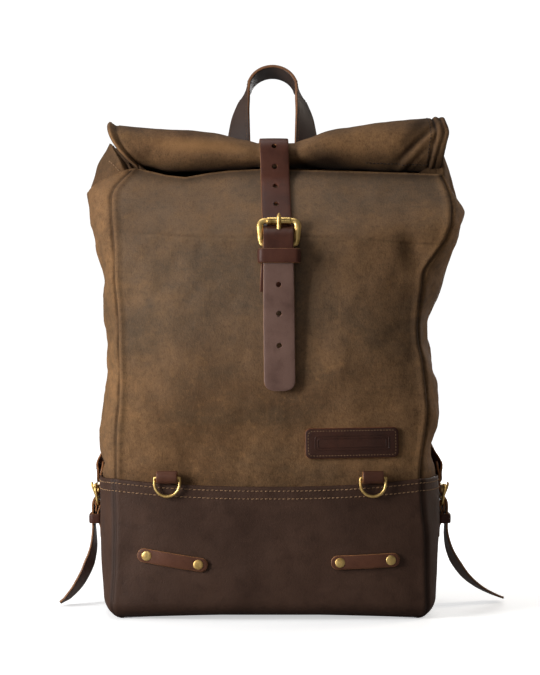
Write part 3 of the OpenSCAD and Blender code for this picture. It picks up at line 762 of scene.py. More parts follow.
# ------------------------------------------------------------------ smooth leather base
def base_rings():
    rings, att = [], []
    R0 = 15.0
    zs = [0.0] + list(R0 * (1 - np.cos(np.radians(np.linspace(12, 90, 9))))) + list(np.linspace(R0 + 5, 122.4, 42))
    for z in zs:
        ins = R0 - math.sqrt(max(0, R0 ** 2 - (R0 - min(z, R0)) ** 2))
        P = round_off(section(np.full(M, z)), 4)
        N = ring_normals(P)
        P3 = np.column_stack([P, np.full(M, z)])
        d = 2.9 - ins + np.where(SEG_D < 12, 0.8 * seam_profile(SEG_D, "g"), 0) * (SEG_N != "b")
        d = d + np.clip(z / 25, 0, 1) * np.clip(SEG_D / 12, 0.3, 1) * (1.1 * fbm(P3, 13, 3, 21.0) + 0.3 * fbm(P3, 50, 2, 4.0))
        P = P + N * d[:, None]
        P[:, 0] *= 1 - 0.018 * np.clip((75 - z) / 75, 0, 1)
        zv = np.full(M, z) + (SEG_N == "f") * 4.2 * (1 - (2 * SEG_Q - 1) ** 2) * max(0, 1 - z / 45)
        edge_ = np.where(SEG_N == "f", -3.0 + 6.6 * np.abs(2 * SEG_Q - 1) ** 2.2, np.where(SEG_N == "b", 0.0, 3.6 * np.clip(SEG_Q * (SEG_N == "l") + (1 - SEG_Q) * (SEG_N == "r"), 0, 1)))
        zv = zv + edge_ * min(1, max(0, (z - 40) / 60))
        rings.append(np.column_stack([P, zv]))
        # Darker at the seams; painted shade over the lowest 14 mm, next to the floor.
        att.append(0.5 * np.exp(-(SEG_D / 1.6) ** 2) * (SEG_N != "x") + 0.35 * max(0, 1 - z / 14))
    return np.array(rings), np.array(att)


br, bw = base_rings()
top = br[-1]
tn = ring_normals(top[:, :2])
be = np.zeros_like(bw)
extra, ew, ee = [], [], []
for din, dz, e_ in ((0.15, 0.5, 0.7), (0.7, 0.95, 1.0), (2.0, 0.95, 1.0), (2.55, 0.4, 0.8), (2.75, -6.0, 0.0)):
    p = top.copy()
    p[:, :2] -= tn * din
    p[:, 2] += dz
    extra.append(p)
    ew.append(np.zeros(M))
    ee.append(np.full(M, e_))
br = np.concatenate([br, np.array(extra)])
bw = np.concatenate([bw, np.array(ew)])
be = np.concatenate([be, np.array(ee)])
V = br.reshape(-1, 3)
F = grid_faces(len(br), M, close_m=True)
# bottom: rings that close in to the middle
c0 = br[0][:, :2].mean(0)
base_i = len(V)
bots = []
for k in (0.985, 0.93, 0.75, 0.5, 0.25, 0.06):
    p = br[0].copy()
    p[:, :2] = c0 + (p[:, :2] - c0) * k
    p[:, 2] = np.maximum(0.0, p[:, 2] * k) * k
    bots.append(p)
bots = np.array(bots)
V = np.vstack([V, bots.reshape(-1, 3), [[*c0, 0.0]]])
F += [(j, base_i + j, base_i + (j + 1) % M, (j + 1) % M) for j in range(M)]
F += grid_faces(len(bots), M, close_m=True, base=base_i, flip=True)
lastb = base_i + (len(bots) - 1) * M
F += fan([lastb + j for j in range(M)], len(V) - 1, flip=True)
z0 = np.zeros(len(V) - len(bw.reshape(-1)))
# The underside gets a dark value: painted shade.
base = make("base_leather", V, F, BASE, {"wear": np.r_[bw.reshape(-1), z0 + 0.8], "edge": np.r_[be.reshape(-1), z0]})
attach(base, "bag")
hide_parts("base_front", "base_back", "base_side_left", "base_side_right", "base_bottom")

# stiffener board on the bottom, with a softened edge
bo_ = []
for din, zb_ in ((13.4, 3.2), (12.6, 3.6), (12.6, 4.6), (13.4, 5.0)):
    p = section(np.full(M, 20.0))
    p = round_off(p, 6)
    p = p * (1 - din / np.array([154.0, 70.0]))
    bo_.append(np.column_stack([p, np.full(M, zb_)]))
board = loft("bottom_board", bo_, BOARD, caps=True, attrs={"wear": np.zeros((4, M)), "edge": np.zeros((4, M))}, flip=True)
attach(board, "bag")
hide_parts("base_board")

# two rows of stitches round the base's top edge
for dz, p_ in ((2.8, 4.0), (9.8, 4.0)):
    i = int(np.argmin(np.abs(br[:52, 0, 2] - br[51, 0, 2] + dz)))
    ringp = br[i].copy()
    tz = br[51, 0, 2] - dz
    a = br[i - 1] if br[i, 0, 2] > tz else br[i + 1]
    h = (tz - br[i, 0, 2]) / (a[0, 2] - br[i, 0, 2] + 1e-9)
    ringp = br[i] * (1 - h) + a * h
    nn = ring_normals(ringp[:, :2])
    ringp = np.vstack([ringp, ringp[:1]])
    nn = np.column_stack([np.vstack([nn, nn[:1]]), np.zeros(M + 1)])
    stitches("bag", ringp + nn * 0.08, nn, pitch=p_, run=3.0, r=0.42, slant=0.12)

# ------------------------------------------------------------------ lining
def lining_rings():
    rings = []
    for z in np.r_[6.2, np.linspace(9, 378, 40)]:
        top_ = np.minimum(np.full(M, z), TOP - 24)
        P = round_off(section(top_), 5)
        N = ring_normals(P)
        P3 = np.column_stack([P, top_])
        d = -8.2 - (2.5 if z < 8 else 0) + 0.8 * fbm(P3, 30, 2, 2.0)
        P = P + N * np.atleast_1d(d)[:, None]
        rings.append(np.column_stack([P, top_]))
    return np.array(rings)


lr = lining_rings()
V = np.vstack([lr.reshape(-1, 3), [[0, 0, 6.2]]])
F = grid_faces(len(lr), M, close_m=True, flip=True) + fan(list(range(M)), len(V) - 1, flip=False)
lin_o = make("lining_bag", V, F, CANVAS)
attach(lin_o, "bag")
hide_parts("lining")

# ------------------------------------------------------------------ roll
XS = np.r_[-151.5, -150.9, -149.8, -148.4, np.linspace(-147, -131, 11), np.linspace(-127, 118, 50), np.linspace(120, 159, 30), 160.4, 161.4, 162]
RTOP = smooth_curve([(-160, 453.0), (-142, 452.6), (-128, 450.2), (-110, 449.6), (-70, 447.4), (-48, 445.2), (-26, 438.6), (-12, 436.2), (6, 435.6), (22, 436.4), (36, 440.5), (58, 448.6), (88, 453.8), (126, 458.4), (160, 461.0)], 5, -170, 170)
RBOT = smooth_curve([(-160, 409.5), (-130, 411.5), (-114, 410), (-95, 408.5), (-70, 408), (-40, 410.5), (0, 411.6), (30, 411), (90, 409.5), (160, 406.5)], 5, -170, 170)


def roll_line(x, n=150, t0=-22, t1=1050):
    """Spiral section at x: outer turn first, from the back, over the top and down the front."""
    topz, bot = float(RTOP(x)), float(RBOT(x))
    b, c = (topz - bot) / 2, (topz + bot) / 2
    a = 24.6 - 2.0 * math.exp(-((x - 6) / 26) ** 2)
    th = np.radians(np.r_[np.linspace(t0, 340, n - n // 2), np.linspace(340, t1, n // 2 + 1)[1:]])
    k = 1 - 0.155 * np.maximum(0, np.degrees(th) - 200) / 360
    ca, sa = np.cos(th), np.sin(th)
    p = 0.97
    y = -6 + k * a * np.sign(ca) * np.abs(ca) ** p
    z = c + k * b * np.sign(sa) * np.abs(sa) ** p
    # the front face sags a little and leans out at the bottom
    y = y - 2.2 * np.clip(-np.sin(th), 0, 1) * (ca < 0)
    return np.column_stack([np.full(n, x), y, z])


def roll_disp(L0, x):
    """How far the sheet stands off its plain spiral, the distance from the end seam, and the painted shade along its
    creases.
    """
    d = 1.1 * fbm(L0, 24, 3, 7.7) + 0.45 * fbm(L0 * arr(0.5, 1, 1), 75, 3, 1.0)
    # rolled hem at the left end
    d = d + 2.7 * math.exp(-((x + 149.4) / 2.5) ** 2) - 0.9 * math.exp(-((x + 143.2) / 1.7) ** 2)
    # creases that run out from under the strap
    d = d - 1.3 * math.exp(-((abs(x - 6) - 17) / 5) ** 2)
    # stitched seam at the right end
    sd = x - (151.0 - 3.0 * np.clip((440 - L0[:, 2]) / 30, 0, 1) * (L0[:, 1] < -6))
    d = d - 1.5 * np.exp(-(sd / 1.1) ** 2) + 0.9 * np.exp(-((sd - 3.4) / 2.0) ** 2) - 0.8 * np.exp(-((sd - 6.4) / 0.9) ** 2)
    # one deep crease and a fan of small ones below the right end
    u = (L0[:, 0] - 150.5) * 0.731 - (L0[:, 2] - 450.8) * 0.683
    near = np.exp(-((L0[:, 0] - 134) / 17) ** 2) * np.clip(-(L0[:, 1] + 6) / 8, 0, 1) * np.clip((L0[:, 2] - 407) / 6, 0, 1)
    fanned = 0.75 * np.exp(-((u - 11.5) / 1.5) ** 2) + 0.6 * np.exp(-((u - 16.5) / 1.4) ** 2) + 0.5 * np.exp(-((u - 21) / 1.5) ** 2)
    crs = 3.6 * np.exp(-(u / 2.6) ** 2) + 1.5 * np.exp(-((u + 6) / 5.0) ** 2) + fanned - 1.7 * np.exp(-((u - 5.5) / 2.8) ** 2)
    d = d - near * crs
    # folds that run out from under the strap on the left
    u2 = (L0[:, 0] + 60) * 0.28 + (L0[:, 2] - 428)
    d = d - 0.9 * np.exp(-((L0[:, 0] + 55) / 34) ** 2) * np.exp(-(u2 / 2.8) ** 2) * (L0[:, 1] < 0)
    # Painted shade in the deep crease, to its left and in the small ones beside it.
    painted_crease_shade = near * (0.55 * np.exp(-(u / 2.4) ** 2) + 0.4 * np.exp(-((u + 8) / 8.0) ** 2) + 0.18 * fanned)
    return d, sd, painted_crease_shade


def roll_shear(ring, x):
    """The left end is cut on the slant, its lower edge drawn in; the right end leans a little."""
    ring = ring.copy()
    fall = np.clip((-95 - x) / 52, 0, 1) ** 1.5
    ring[:, 0] += fall * 27.0 * np.clip((454 - ring[:, 2]) / 42, 0, 1) ** 2.0
    fr_ = np.clip((x - 120) / 38, 0, 1) ** 1.5
    ring[:, 0] += fr_ * (3.5 * np.exp(-((ring[:, 2] - 444) / 10) ** 2) - 3.0 * np.clip((430 - ring[:, 2]) / 20, 0, 1))
    return ring


def roll_out(L0, x):
    T = tangents(L0)
    Nn = unit(np.column_stack([np.zeros(len(T)), T[:, 2], -T[:, 1]]))
    cen = arr(x, -6, (float(RTOP(x)) + float(RBOT(x))) / 2)
    return Nn * (1 if np.median(((L0 - cen) * Nn).sum(1)) > 0 else -1)


rr_, ra_ = [], []
for x in XS:
    e = 1.0
    L0 = roll_line(x)
    T = tangents(L0)
    Nn = unit(np.column_stack([np.zeros(len(T)), T[:, 2], -T[:, 1]]))
    cen = arr(x, -6, (float(RTOP(x)) + float(RBOT(x))) / 2)
    out = np.sign(((L0 - cen) * Nn).sum(1))
    Nn = Nn * (1 if np.median(out) > 0 else -1)
    disp, seam_d, painted_crease_shade = roll_disp(L0, x)
    end = max(0.0, (abs(x - 5.5) - 154.5) / 2.5)
    th_ = 1.15 * (1 - 0.5 * min(1, end))
    outer = L0 + Nn * (disp[:, None] - 0.6 * min(1, end) ** 2)
    inner = outer - Nn * 2 * th_
    ring = np.vstack([outer, inner[::-1]])
    ring = roll_shear(ring, x)
    rr_.append(ring)
    w = np.full(len(ring), 0.0)
    w += 0.35 * min(1, end)
    w[len(outer):] += 0.5
    # Real dark lines along the end seam, and painted shade in and beside the creases.
    w[:len(outer)] += 0.45 * np.exp(-(seam_d / 1.0) ** 2) + 0.3 * np.exp(-((seam_d - 6.4) / 0.8) ** 2) + painted_crease_shade
    # Painted shade towards the right of the strap; darker near the left end.
    w[:len(outer)] += 0.34 * np.clip((x - 10) / 40, 0, 1) * (0.75 + 0.25 * math.sin(x / 21.0)) + 0.2 * math.exp(-((x + 126) / 18) ** 2)
    # Painted shadow on the lower front, strongest right of the strap and weaker left of it.
    low_ = np.clip((cen[2] + 3 - ring[:, 2]) / 13, 0, 1) * (ring[:, 1] < -6)
    w += 0.6 * low_ * math.exp(-((x - 44) / 32) ** 2) * (x > 6) + 0.25 * low_ * math.exp(-((x + 40) / 30) ** 2)
    # Painted highlight across the middle of the front, strongest left of the strap; darker along the top.
    crown_ = np.exp(-((ring[:, 2] - cen[2] - 3) / 7.5) ** 2) * (ring[:, 1] < -6)
    w += 0.22 * np.clip((ring[:, 2] - cen[2] - 11) / 8, 0, 1)
    w -= 0.5 * crown_ * np.exp(-((x + 66) / 48) ** 2) + 0.12 * crown_ * np.exp(-((x - 85) / 40) ** 2)
    # Painted shade in the groove behind the rolled hem at the left end.
    w[:len(outer)] += 0.4 * math.exp(-((x + 143.4) / 1.4) ** 2)
    # Painted shade on the underside, strongest beside the strap's two edges.
    under = np.clip((-(ring[:, 2] - cen[2]) / 22 - 0.05), 0, 1)
    w += 0.55 * under ** 1.3 + 0.5 * under * math.exp(-((x - 23) / 9) ** 2) + 0.3 * under * math.exp(-((x + 12) / 9) ** 2)
    # Painted highlight along the rolled hem at the left end.
    w[:len(outer)] -= 0.45 * math.exp(-((x + 149.6) / 2.4) ** 2)
    ra_.append(w)
m2 = len(rr_[0])
half_ = m2 // 2
F = grid_faces(len(XS), m2, close_m=True)
for e_, fl_ in ((0, True), ((len(XS) - 1) * m2, False)):
    for k in range(half_ - 1):
        qd = (e_ + k, e_ + k + 1, e_ + m2 - 2 - k, e_ + m2 - 1 - k)
        F.append(qd[::-1] if fl_ else qd)
roll = make("roll_top", np.array(rr_).reshape(-1, 3), F, WAX, {"wear": np.array(ra_).reshape(-1), "edge": np.zeros(len(XS) * m2)})
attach(roll, "roll_top")
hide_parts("roll")
# the batten, wrapped in the innermost turn
co_ = []
for x in np.r_[-141.5, -141.2, -140, np.linspace(-136, 148, 40), 152, 153.2, 153.5]:
    cz = (float(RTOP(x)) + float(RBOT(x))) / 2
    hb = (float(RTOP(x)) - float(RBOT(x))) / 2
    kk = 0.5 * (0.9 if x in (-141.5, 153.5) else 0.97 if x in (-141.2, 153.2) else 1.0)
    co_.append([(x, -6 + 24 * kk * math.cos(a), cz + max(12.6, hb) * kk * 1.04 * math.sin(a)) for a in np.linspace(0, 2 * math.pi, 40, endpoint=False)])
core = loft("roll_core", co_, WAX, caps=True, attrs={"wear": np.full((len(co_), 40), 0.5), "edge": np.zeros((len(co_), 40))}, flip=True)
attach(core, "roll_top")
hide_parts("mouth_batten")
# seam row along the roll's lower edge on the right
P_, N_ = [], []
for x in np.linspace(88, 149, 44):
    L0 = roll_line(x, 400, 150, 260)
    j_ = int(np.argmin(np.abs(L0[:, 2] - (float(RBOT(x)) + 6.4)) + 50 * (L0[:, 1] > -10)))
    n_ = roll_out(L0, x)[j_]
    q_ = L0[j_] + n_ * (roll_disp(L0, x)[0][j_] + 0.1)
    P_.append(roll_shear(q_[None, :], x)[0])
    N_.append(n_)
stitches("roll_top", np.array(P_), np.array(N_), pitch=3.4, run=2.3, r=0.42, mat=THREAD_K)
# stitches beside the end seam on the right
for xs_ in (146.6,):
    L0 = roll_line(xs_)
    Nn = roll_out(L0, xs_)
    q_ = roll_shear(L0 + Nn * (roll_disp(L0, xs_)[0][:, None] + 0.1), xs_)
    stitches("roll_top", q_[6:50], Nn[6:50], pitch=3.4, run=2.2, r=0.36, mat=THREAD_K)

# ------------------------------------------------------------------ collar behind the roll, with the folded ears
f_, r_m, b_m, l_m = (SEG_N == k for k in "frbl")
KF = 15
idx = {k: [i for i in range(M) if SEG_N[i] == k] for k in "frbl"}
order = idx["f"][-KF:] + idx["r"] + idx["b"] + idx["l"] + idx["f"][:KF]
rim = last[order].copy()
rn = Pn[order]
nR, nB, nL = len(idx["r"]), len(idx["b"]), len(idx["l"])
topc = np.zeros_like(rim)
kind = []
for j in range(len(order)):
    if j < KF:
        m = (KF - j) / KF
        topc[j] = arr(161 - 30 * m, -16 - 8 * m, 418 - 18 * m ** 1.6)
        kind.append("f")
    elif j < KF + nR:
        s = (j - KF) / nR
        a0, a1, a2 = arr(161, -16, 418), arr(164, 2, 438), arr(157, 17.5, 431)
        topc[j] = (1 - s) ** 2 * a0 + 2 * s * (1 - s) * a1 + s * s * a2
        kind.append("g")
    elif j < KF + nR + nB:
        s = (j - KF - nR) / nB
        dip_ = math.exp(-((157 - 304 * s - 6) / 42) ** 2)
        topc[j] = arr(157 * (1 - s) - 147 * s, 16.9 - 4.2 * dip_, 431 - 5.5 * dip_)
        kind.append("b")
    elif j < KF + nR + nB + nL:
        s = (j - KF - nR - nB) / nL
        a0, a1, a2 = arr(-147, 17.5, 431), arr(-154, 0, 442), arr(-147, -17, 431)
        topc[j] = (1 - s) ** 2 * a0 + 2 * s * (1 - s) * a1 + s * s * a2
        kind.append("g")
    else:
        m = (j - KF - nR - nB - nL) / KF
        topc[j] = arr(-147 + 34 * m, -17 - 7 * m, 431 - 31 * m ** 1.6)
        kind.append("f")
kind = np.array(kind)
rim[kind == "f", :2] -= rn[kind == "f"] * 5.2
cr, cw = [], []
NCOL = 30
side_w = np.where(kind == "b", 0.0, 1.0)
front_w = np.where(kind == "f", 1.0, 0.0)
for v in np.linspace(0, 1, NCOL):
    low = rim.copy()
    low[:, :2] -= rn * 0.6
    low[:, 2] -= 5.0
    P = low * (1 - v) + topc * v
    # the leather bellies out between the bag and the roll
    belly = math.sin(math.pi * v)
    d = np.zeros((len(order), 3))
    d[:, :2] = rn * (belly * (1.2 * side_w * (1 - front_w) + 9.0 * (1 - side_w)))[:, None]
    d[:, 2] = belly * (1.0 * side_w + 7.5 * (1 - side_w))
    P = P + d
    P[:, 2] += 0
    nz = fbm(P * arr(1, 1, 0.5), 55, 3, 12.0)
    P[:, :2] += rn * (nz * (0.5 + 1.4 * side_w) * (1 - 0.7 * front_w))[:, None] * belly
    P[:, 2] += nz * belly * 1.0 * (1 - side_w)
    cr.append(P)
    # Painted shade on the front columns, in the gap under the roll; darker on the sides and along the lower and upper
    # edges.
    cw.append(0.34 * side_w + 0.12 * (1 - belly) ** 4 + 0.4 * front_w)
cr = np.array(cr)
V = cr.reshape(-1, 3)
F = grid_faces(NCOL, len(order))
collar = make("collar", V, F, WAX, {"wear": np.array(cw).reshape(-1), "edge": np.zeros(len(V))})
mod = collar.modifiers.new("thick", "SOLIDIFY")
mod.thickness = 2.2 * MM
mod.offset = -1


def apply_mods(o):
    dg = bpy.context.evaluated_depsgraph_get()
    me = bpy.data.meshes.new_from_object(o.evaluated_get(dg))
    o.modifiers.clear()
    o.data = me
    return o


apply_mods(collar)
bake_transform(collar, "bag", "roll_top", start=(0, 0, 0.4035), end=(0, 0, 0.4225))
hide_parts("collar_back", "collar_side_left", "collar_side_right")

# a curved seam down the left ear, on the collar's outer face
tree = BVHTree.FromPolygons([v.co.copy() for v in collar.data.vertices], [tuple(q.vertices) for q in collar.data.polygons])
ear, earn = [], []
for s_ in np.linspace(0, 1, 30):
    Xt = -150.0 + 14.0 * s_ + 1.6 * math.sin(math.pi * s_)
    Zt = 418.5 - 16.0 * s_
    hit, nrm, idx_, dist_ = tree.ray_cast(Vector((Xt * MM, -0.3, Zt * MM)), Vector((0, 1, 0)))
    if hit is None:
        continue
    nrm = np.array(nrm) * (-1 if nrm[1] > 0 else 1)
    ear.append(np.array(hit) / MM)
    earn.append(nrm)
ear, earn = np.array(ear), np.array(earn)
eo = stitches("bag", ear + earn * 0.15, earn, pitch=3.2, run=2.3, r=0.56)
STITCH.pop()
eo.name = "stitching_ear"
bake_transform(eo, "bag", "roll_top", start=(0, 0, 0.4035), end=(0, 0, 0.4225))

# ------------------------------------------------------------------ closure strap
STX = 7.5
SW, ST = 27.0, 2.9


def path_yz(points, x0=0.0, n=80, x1=None):
    p = catmull([(x0, y, z) for y, z in points], n)
    if x1 is not None:
        s = np.linspace(0, 1, n)
        p[:, 0] = x0 + (x1 - x0) * s
    return p


def strip_frames(C, ref):
    """Width along x (nearly), outward direction on the side of ref."""
    T = tangents(C)
    W = unit(np.cross(T, np.cross(arr(1, 0, 0), T)))
    N = unit(np.cross(T, W))
    s = np.sign((N * ref).sum(1))
    return W, N * s[:, None]


# strap over the roll: from behind the roller up the lean, over the roll and back
ov = [(-67.2, 359.6), (-61.5, 366.5), (-48.5, 382.6), (-37.0, 397.5), (-33.8, 405.5), (-33.9, 415), (-32.6, 425), (-28.5, 433), (-21.0, 437.1), (-8, 437.9), (6, 436.6), (15, 433.0), (20, 429.6)]
C = path_yz(ov, 6.2, 110, 2.4)
dirs = np.array([(0, -1.0, 1.0)] * len(C))
W, N = strip_frames(C, np.where(np.arange(len(C))[:, None] < 60, arr(0, -1, 0.6), arr(0, -0.2, 1)))
so = strip("closure_strap_over_roll", C, W, N, SW * 0.985, ST, STRAP, crown=0.25)


def punch(o, C, N, W, places, r=2.25, depth=8.0):
    """Cuts round holes through a strap; their walls are darkened as painted shade."""
    cut = []
    for s_ in places:
        i = int(np.argmin(np.linalg.norm(C - s_, axis=1)))
        prof = [(-depth, r), (ST / 2 - 0.35, r), (ST / 2 + 0.25, r + 0.45), (depth, r + 0.5)]
        cut.append(lathe("cutter", prof, C[i], N[i], WAX, n=28))
    c = join("cutter", cut, o.data.materials[0])
    # The cutter's high dark value carries over to the hole walls: painted shade.
    c.data.attributes["wear"].data.foreach_set("value", np.full(len(c.data.vertices), 1.0, np.float32)) if "wear" in c.data.attributes else None
    mod_ = o.modifiers.new("punch", "BOOLEAN")
    mod_.operation = "DIFFERENCE"
    mod_.solver = "EXACT"
    mod_.object = c
    apply_mods(o)
    bpy.data.objects.remove(c)
    o.data.set_sharp_from_angle(angle=math.radians(38))


# A dark leather meant for painted shade in the holes; nothing uses it.
HOLE = smooth_leather("hole_leather", lin(40, 22, 15), lin(60, 34, 24), rough=(0.5, 0.7), grain=520.0, grain_h=0.15, spec=0.3)
zpx = lambda y: 254 + (337.5 - y) * 0.9
hp = []
for z_ in (374.5, 392.0):
    i = int(np.argmin(np.abs(C[:60, 2] - z_)))
    hp.append(C[i])
i = int(np.argmin(np.linalg.norm(C - arr(5, -34, 411), axis=1)))
hp.append(C[i])
i = int(np.argmin(np.linalg.norm(C - arr(5, -31, 429.5), axis=1)))
hp.append(C[i])
punch(so, C, N, W, hp)
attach(so, "roll_top")
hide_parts("closure_strap_over")

# strap from its anchor under the yoke, up and forward to the roll
rear = [(66.0, 350), (66.2, 380), (66.2, 398), (65.2, 407), (58.5, 416), (48, 424.5), (36, 430.5), (26, 432.2), (20, 431.2), (18, 430.6)]
C2 = path_yz(rear, 5.5, 60, 2.5)
W2, N2 = strip_frames(C2, arr(0, 1, 0.6))
sr = strip("closure_strap_rear", C2, W2, N2, SW * 0.985, ST, STRAP, crown=0.2)
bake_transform(sr, "bag", "roll_top", start=(0, 0, 0.4035), end=(0, 0, 0.4225))
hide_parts("closure_strap_anchor")

# buckled length and hanging end: one strap, which bends just below the keeper
FY = -75.0
HZ = 337.0
lowp = [(FY + 5.4, HZ + 20.6), (FY + 4.4, HZ + 18.6), (FY + 1.6, HZ + 16.2), (FY - 2.4, HZ + 14.4), (FY - 6.6, HZ + 11.6), (FY - 9.9, HZ + 7.0), (FY - 11.6, HZ + 0.5), (FY - 11.6, HZ - 8), (FY - 11.4, HZ - 16), (FY - 11.2, 312), (FY - 10.2, 296), (FY - 8.2, 272), (FY - 6.4, 244), (FY - 5.2, 220), (FY - 4.7, 206.2)]
C3 = path_yz(lowp, 7.2, 130, 8.8)
W3, N3 = strip_frames(C3, arr(0, -1, 0.2))
w3 = np.full(len(C3), SW)
d_end = np.array([length(C3[i:]) if i < len(C3) - 1 else 0.0 for i in range(len(C3))])
rt = 9.0
w3 = np.where(d_end < rt, SW - 2 * (rt - np.sqrt(np.maximum(0, rt ** 2 - (rt - d_end) ** 2))) * 0.96, SW)
w3 = w3 * (1 + 0.05 * np.clip((330 - C3[:, 2]) / 60, 0, 1))
tail = strip("closure_strap_tail", C3, W3, N3, w3, ST, TAIL_PAINTED_SHEEN, crown=0.25)
hp = [C3[int(np.argmin(np.abs(C3[:, 2] - z_)))] for z_ in (301.5, 275.0, 246.6)]
punch(tail, C3, N3, W3, hp)
# Painted shade on the strap above 320 mm, inside the buckle's frame.
zz_ = np.array([v.co.z for v in tail.data.vertices])
aw = np.empty(len(zz_), np.float32)
tail.data.attributes["wear"].data.foreach_get("value", aw)
tail.data.attributes["wear"].data.foreach_set("value", np.maximum(aw, 0.15 * np.clip((zz_ - 0.320) / 0.008, 0, 1)).astype(np.float32))
# Above 327 mm the strap takes the darker strap colour; the hanging end below keeps the lighter copy whose colour is
# painted sheen.
tail.data.materials.append(STRAP)
for q in tail.data.polygons:
    if q.center[2] > 0.327:
        q.material_index = len(tail.data.materials) - 1
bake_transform(tail, "bag", "strap_tail", start=(0, 0, 0.3185), end=(0, 0, 0.288))
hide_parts("closure_strap_tail", "closure_strap_lower")

# base strap folded round the heel bar, its end showing below the keeper
bs = [(FY - 0.6, 294.5), (FY - 1.9, 306), (FY - 2.6, 318.0), (FY - 4.6, HZ - 14), (FY - 5.3, HZ - 8)]
C4 = path_yz(bs, 4.2, 30, 6.0)
W4, N4 = strip_frames(C4, arr(0, -1, 0))
b1 = strip("closure_base_back", C4, W4, N4, SW, 2.3, STRAP)
fold = []
for a in np.linspace(-70, 250, 30):
    A = math.radians(a)
    fold.append((FY - 5 + 3.45 * math.cos(A) * 1.0, HZ + 3.45 * math.sin(A)))
fl = [(FY - 3.6, HZ - 12)] + fold + [(FY - 7.6, HZ - 14)]
C5 = np.array([(6.9, y, z) for y, z in fl])
C5 = resample(C5, 50)
W5 = np.tile(arr(1, 0, 0), (50, 1))
N5 = unit(np.cross(tangents(C5), W5))
if ((C5[25] - arr(6.9, FY - 5, HZ)) @ N5[25]) < 0:
    N5 = -N5
for k_, (xa, xb) in enumerate(((-6.6, -2.6), (16.4, 12.4))):
    pass
parts = []
for sx_ in (-1, 1):
    Cc = C5.copy()
    Cc[:, 0] = 6.9 + sx_ * 7.9
    parts.append(strip("fold", Cc, W5, N5, 11.0, 2.2, STRAP))
b2 = join("closure_base_fold", [b1] + parts)
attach(b2, "bag")
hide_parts("closure_base_strap")


# ------------------------------------------------------------------ buckles (built once in a local frame, then placed)
def buckle(tag, place, tilt, bodies, k=1.0):
    """place: local mm point -> row frame mm point. Local: x across, -y out, z up; heel bar at (0, -5, 0)."""
    def P(local, a=tilt):
        L = np.atleast_2d(np.asarray(local, float))
        y, z = L[:, 1] + 5, L[:, 2]
        A = math.radians(a)
        y, z = y * math.cos(A) + z * math.sin(A), z * math.cos(A) - y * math.sin(A)
        return np.array([place(q) for q in np.column_stack([L[:, 0], y - 5, z])])
    top_y, top_z = -8.2, 21.5
    # frame: rounded loop, thicker down the sides
    pts, rad = [], []
    cx, r = 16.95, 4.8
    zt, zb = top_z + 0.2, 0.0
    for s in np.linspace(0, 1, 14, endpoint=False):
        pts.append((-cx + r + (2 * cx - 2 * r) * s, zt + 0.0, 2.6))
    for a in np.linspace(90, 0, 9):
        pts.append((cx - r + r * math.cos(math.radians(a)), zt - r + r * math.sin(math.radians(a)), 2.6 + 0.6 * (1 - a / 90)))
    for s in np.linspace(0.08, 0.9, 10):
        pts.append((cx - 0.9 * s, zt - r + (zb + 2.6 - zt + r) * s, 3.2 - 0.7 * s))
    for a in np.linspace(0, -90, 6):
        pts.append((cx - 3.6 + 2.6 * math.cos(math.radians(a)), zb + 2.6 + 2.6 * math.sin(math.radians(a)), 2.15))
    for s in np.linspace(0.06, 0.94, 12):
        pts.append((cx - 3.6 - (2 * cx - 7.2) * s, zb, 2.05))
    for a in np.linspace(-90, -180, 6):
        pts.append((-cx + 3.6 + 2.6 * math.cos(math.radians(a)), zb + 2.6 + 2.6 * math.sin(math.radians(a)), 2.15))
    for s in np.linspace(0.1, 0.92, 10):
        pts.append((-cx + 0.9 * (1 - s), zb + 2.6 + (zt - r - zb - 2.6) * s, 2.5 + 0.7 * s))
    for a in np.linspace(180, 97, 8):
        pts.append((-cx + r + r * math.cos(math.radians(a)), zt - r + r * math.sin(math.radians(a)), 3.2 - 0.6 * (180 - a) / 90))
    pts = np.array(pts)
    yy = -5 + (top_y + 5) * np.clip(pts[:, 1] / top_z, 0, 1)
    C = P(np.column_stack([pts[:, 0], yy, pts[:, 1]]))
    out_dir = unit(P([0, -6, 10])[0] - P([0, -5, 10])[0])
    loop = resample(np.vstack([np.column_stack([C, pts[:, 2]]), [*C[0], pts[0, 2]]]), 161)[:-1]
    fr = tube("buckle_frame_" + tag, loop[:, :3], loop[:, 3] * k, BRASS, n=20, closed=True, up=out_dir, flat=0.68)
    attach(fr, bodies[0])
    # roller
    prof = []
    for h, rad_ in ((-11.0, 2.3), (-10.9, 3.0), (-10.4, 3.42), (-9.6, 3.5), (-5, 3.5), (0, 3.5), (5, 3.5), (9.6, 3.5), (10.4, 3.42), (10.9, 3.0), (11.0, 2.3)):
        prof.append((h * k, rad_ * k))
    ctr = P([0, top_y, top_z])[0]
    ax = unit(P([1, top_y, top_z])[0] - P([0, top_y, top_z])[0])
    ro = lathe("buckle_roller_" + tag, prof, ctr, ax, BRASS_D, n=28)
    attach(ro, bodies[1])
    # prong: looped round the heel bar, over the roller
    pa = math.degrees(math.atan2(-(top_y - 3.5 - 1.55 + 5), top_z))
    ll = []
    for q_ in np.linspace(0, 1, 16):
        zq = 2.5 + 24.0 * q_
        yq = -5 - math.tan(math.radians(pa)) * zq * (1.0 + 0.05 * math.sin(math.pi * q_))
        if zq > 22.5:
            yq += 0.22 * (zq - 22.5) ** 1.35
        ll.append((0, yq, zq))
    rads = np.interp(np.linspace(0, 1, 16), [0, 0.1, 0.7, 0.93, 1.0], [2.2, 2.1, 2.0, 1.7, 0.8]) * k
    pr = tube("prong", P(ll), rads, BRASS, n=12, up=out_dir, flat=0.85)
    lp = [(0, -5 + 3.2 * math.cos(a), 3.2 * math.sin(a)) for a in np.linspace(0, 2 * math.pi, 22, endpoint=False)]
    lo_ = tube("prong_loop", P(lp), 1.35 * k, BRASS, n=10, closed=True, up=ax, flat=1.5)
    pj = join("buckle_prong_" + tag, [pr, lo_])
    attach(pj, bodies[2])
    return fr, ro, pj


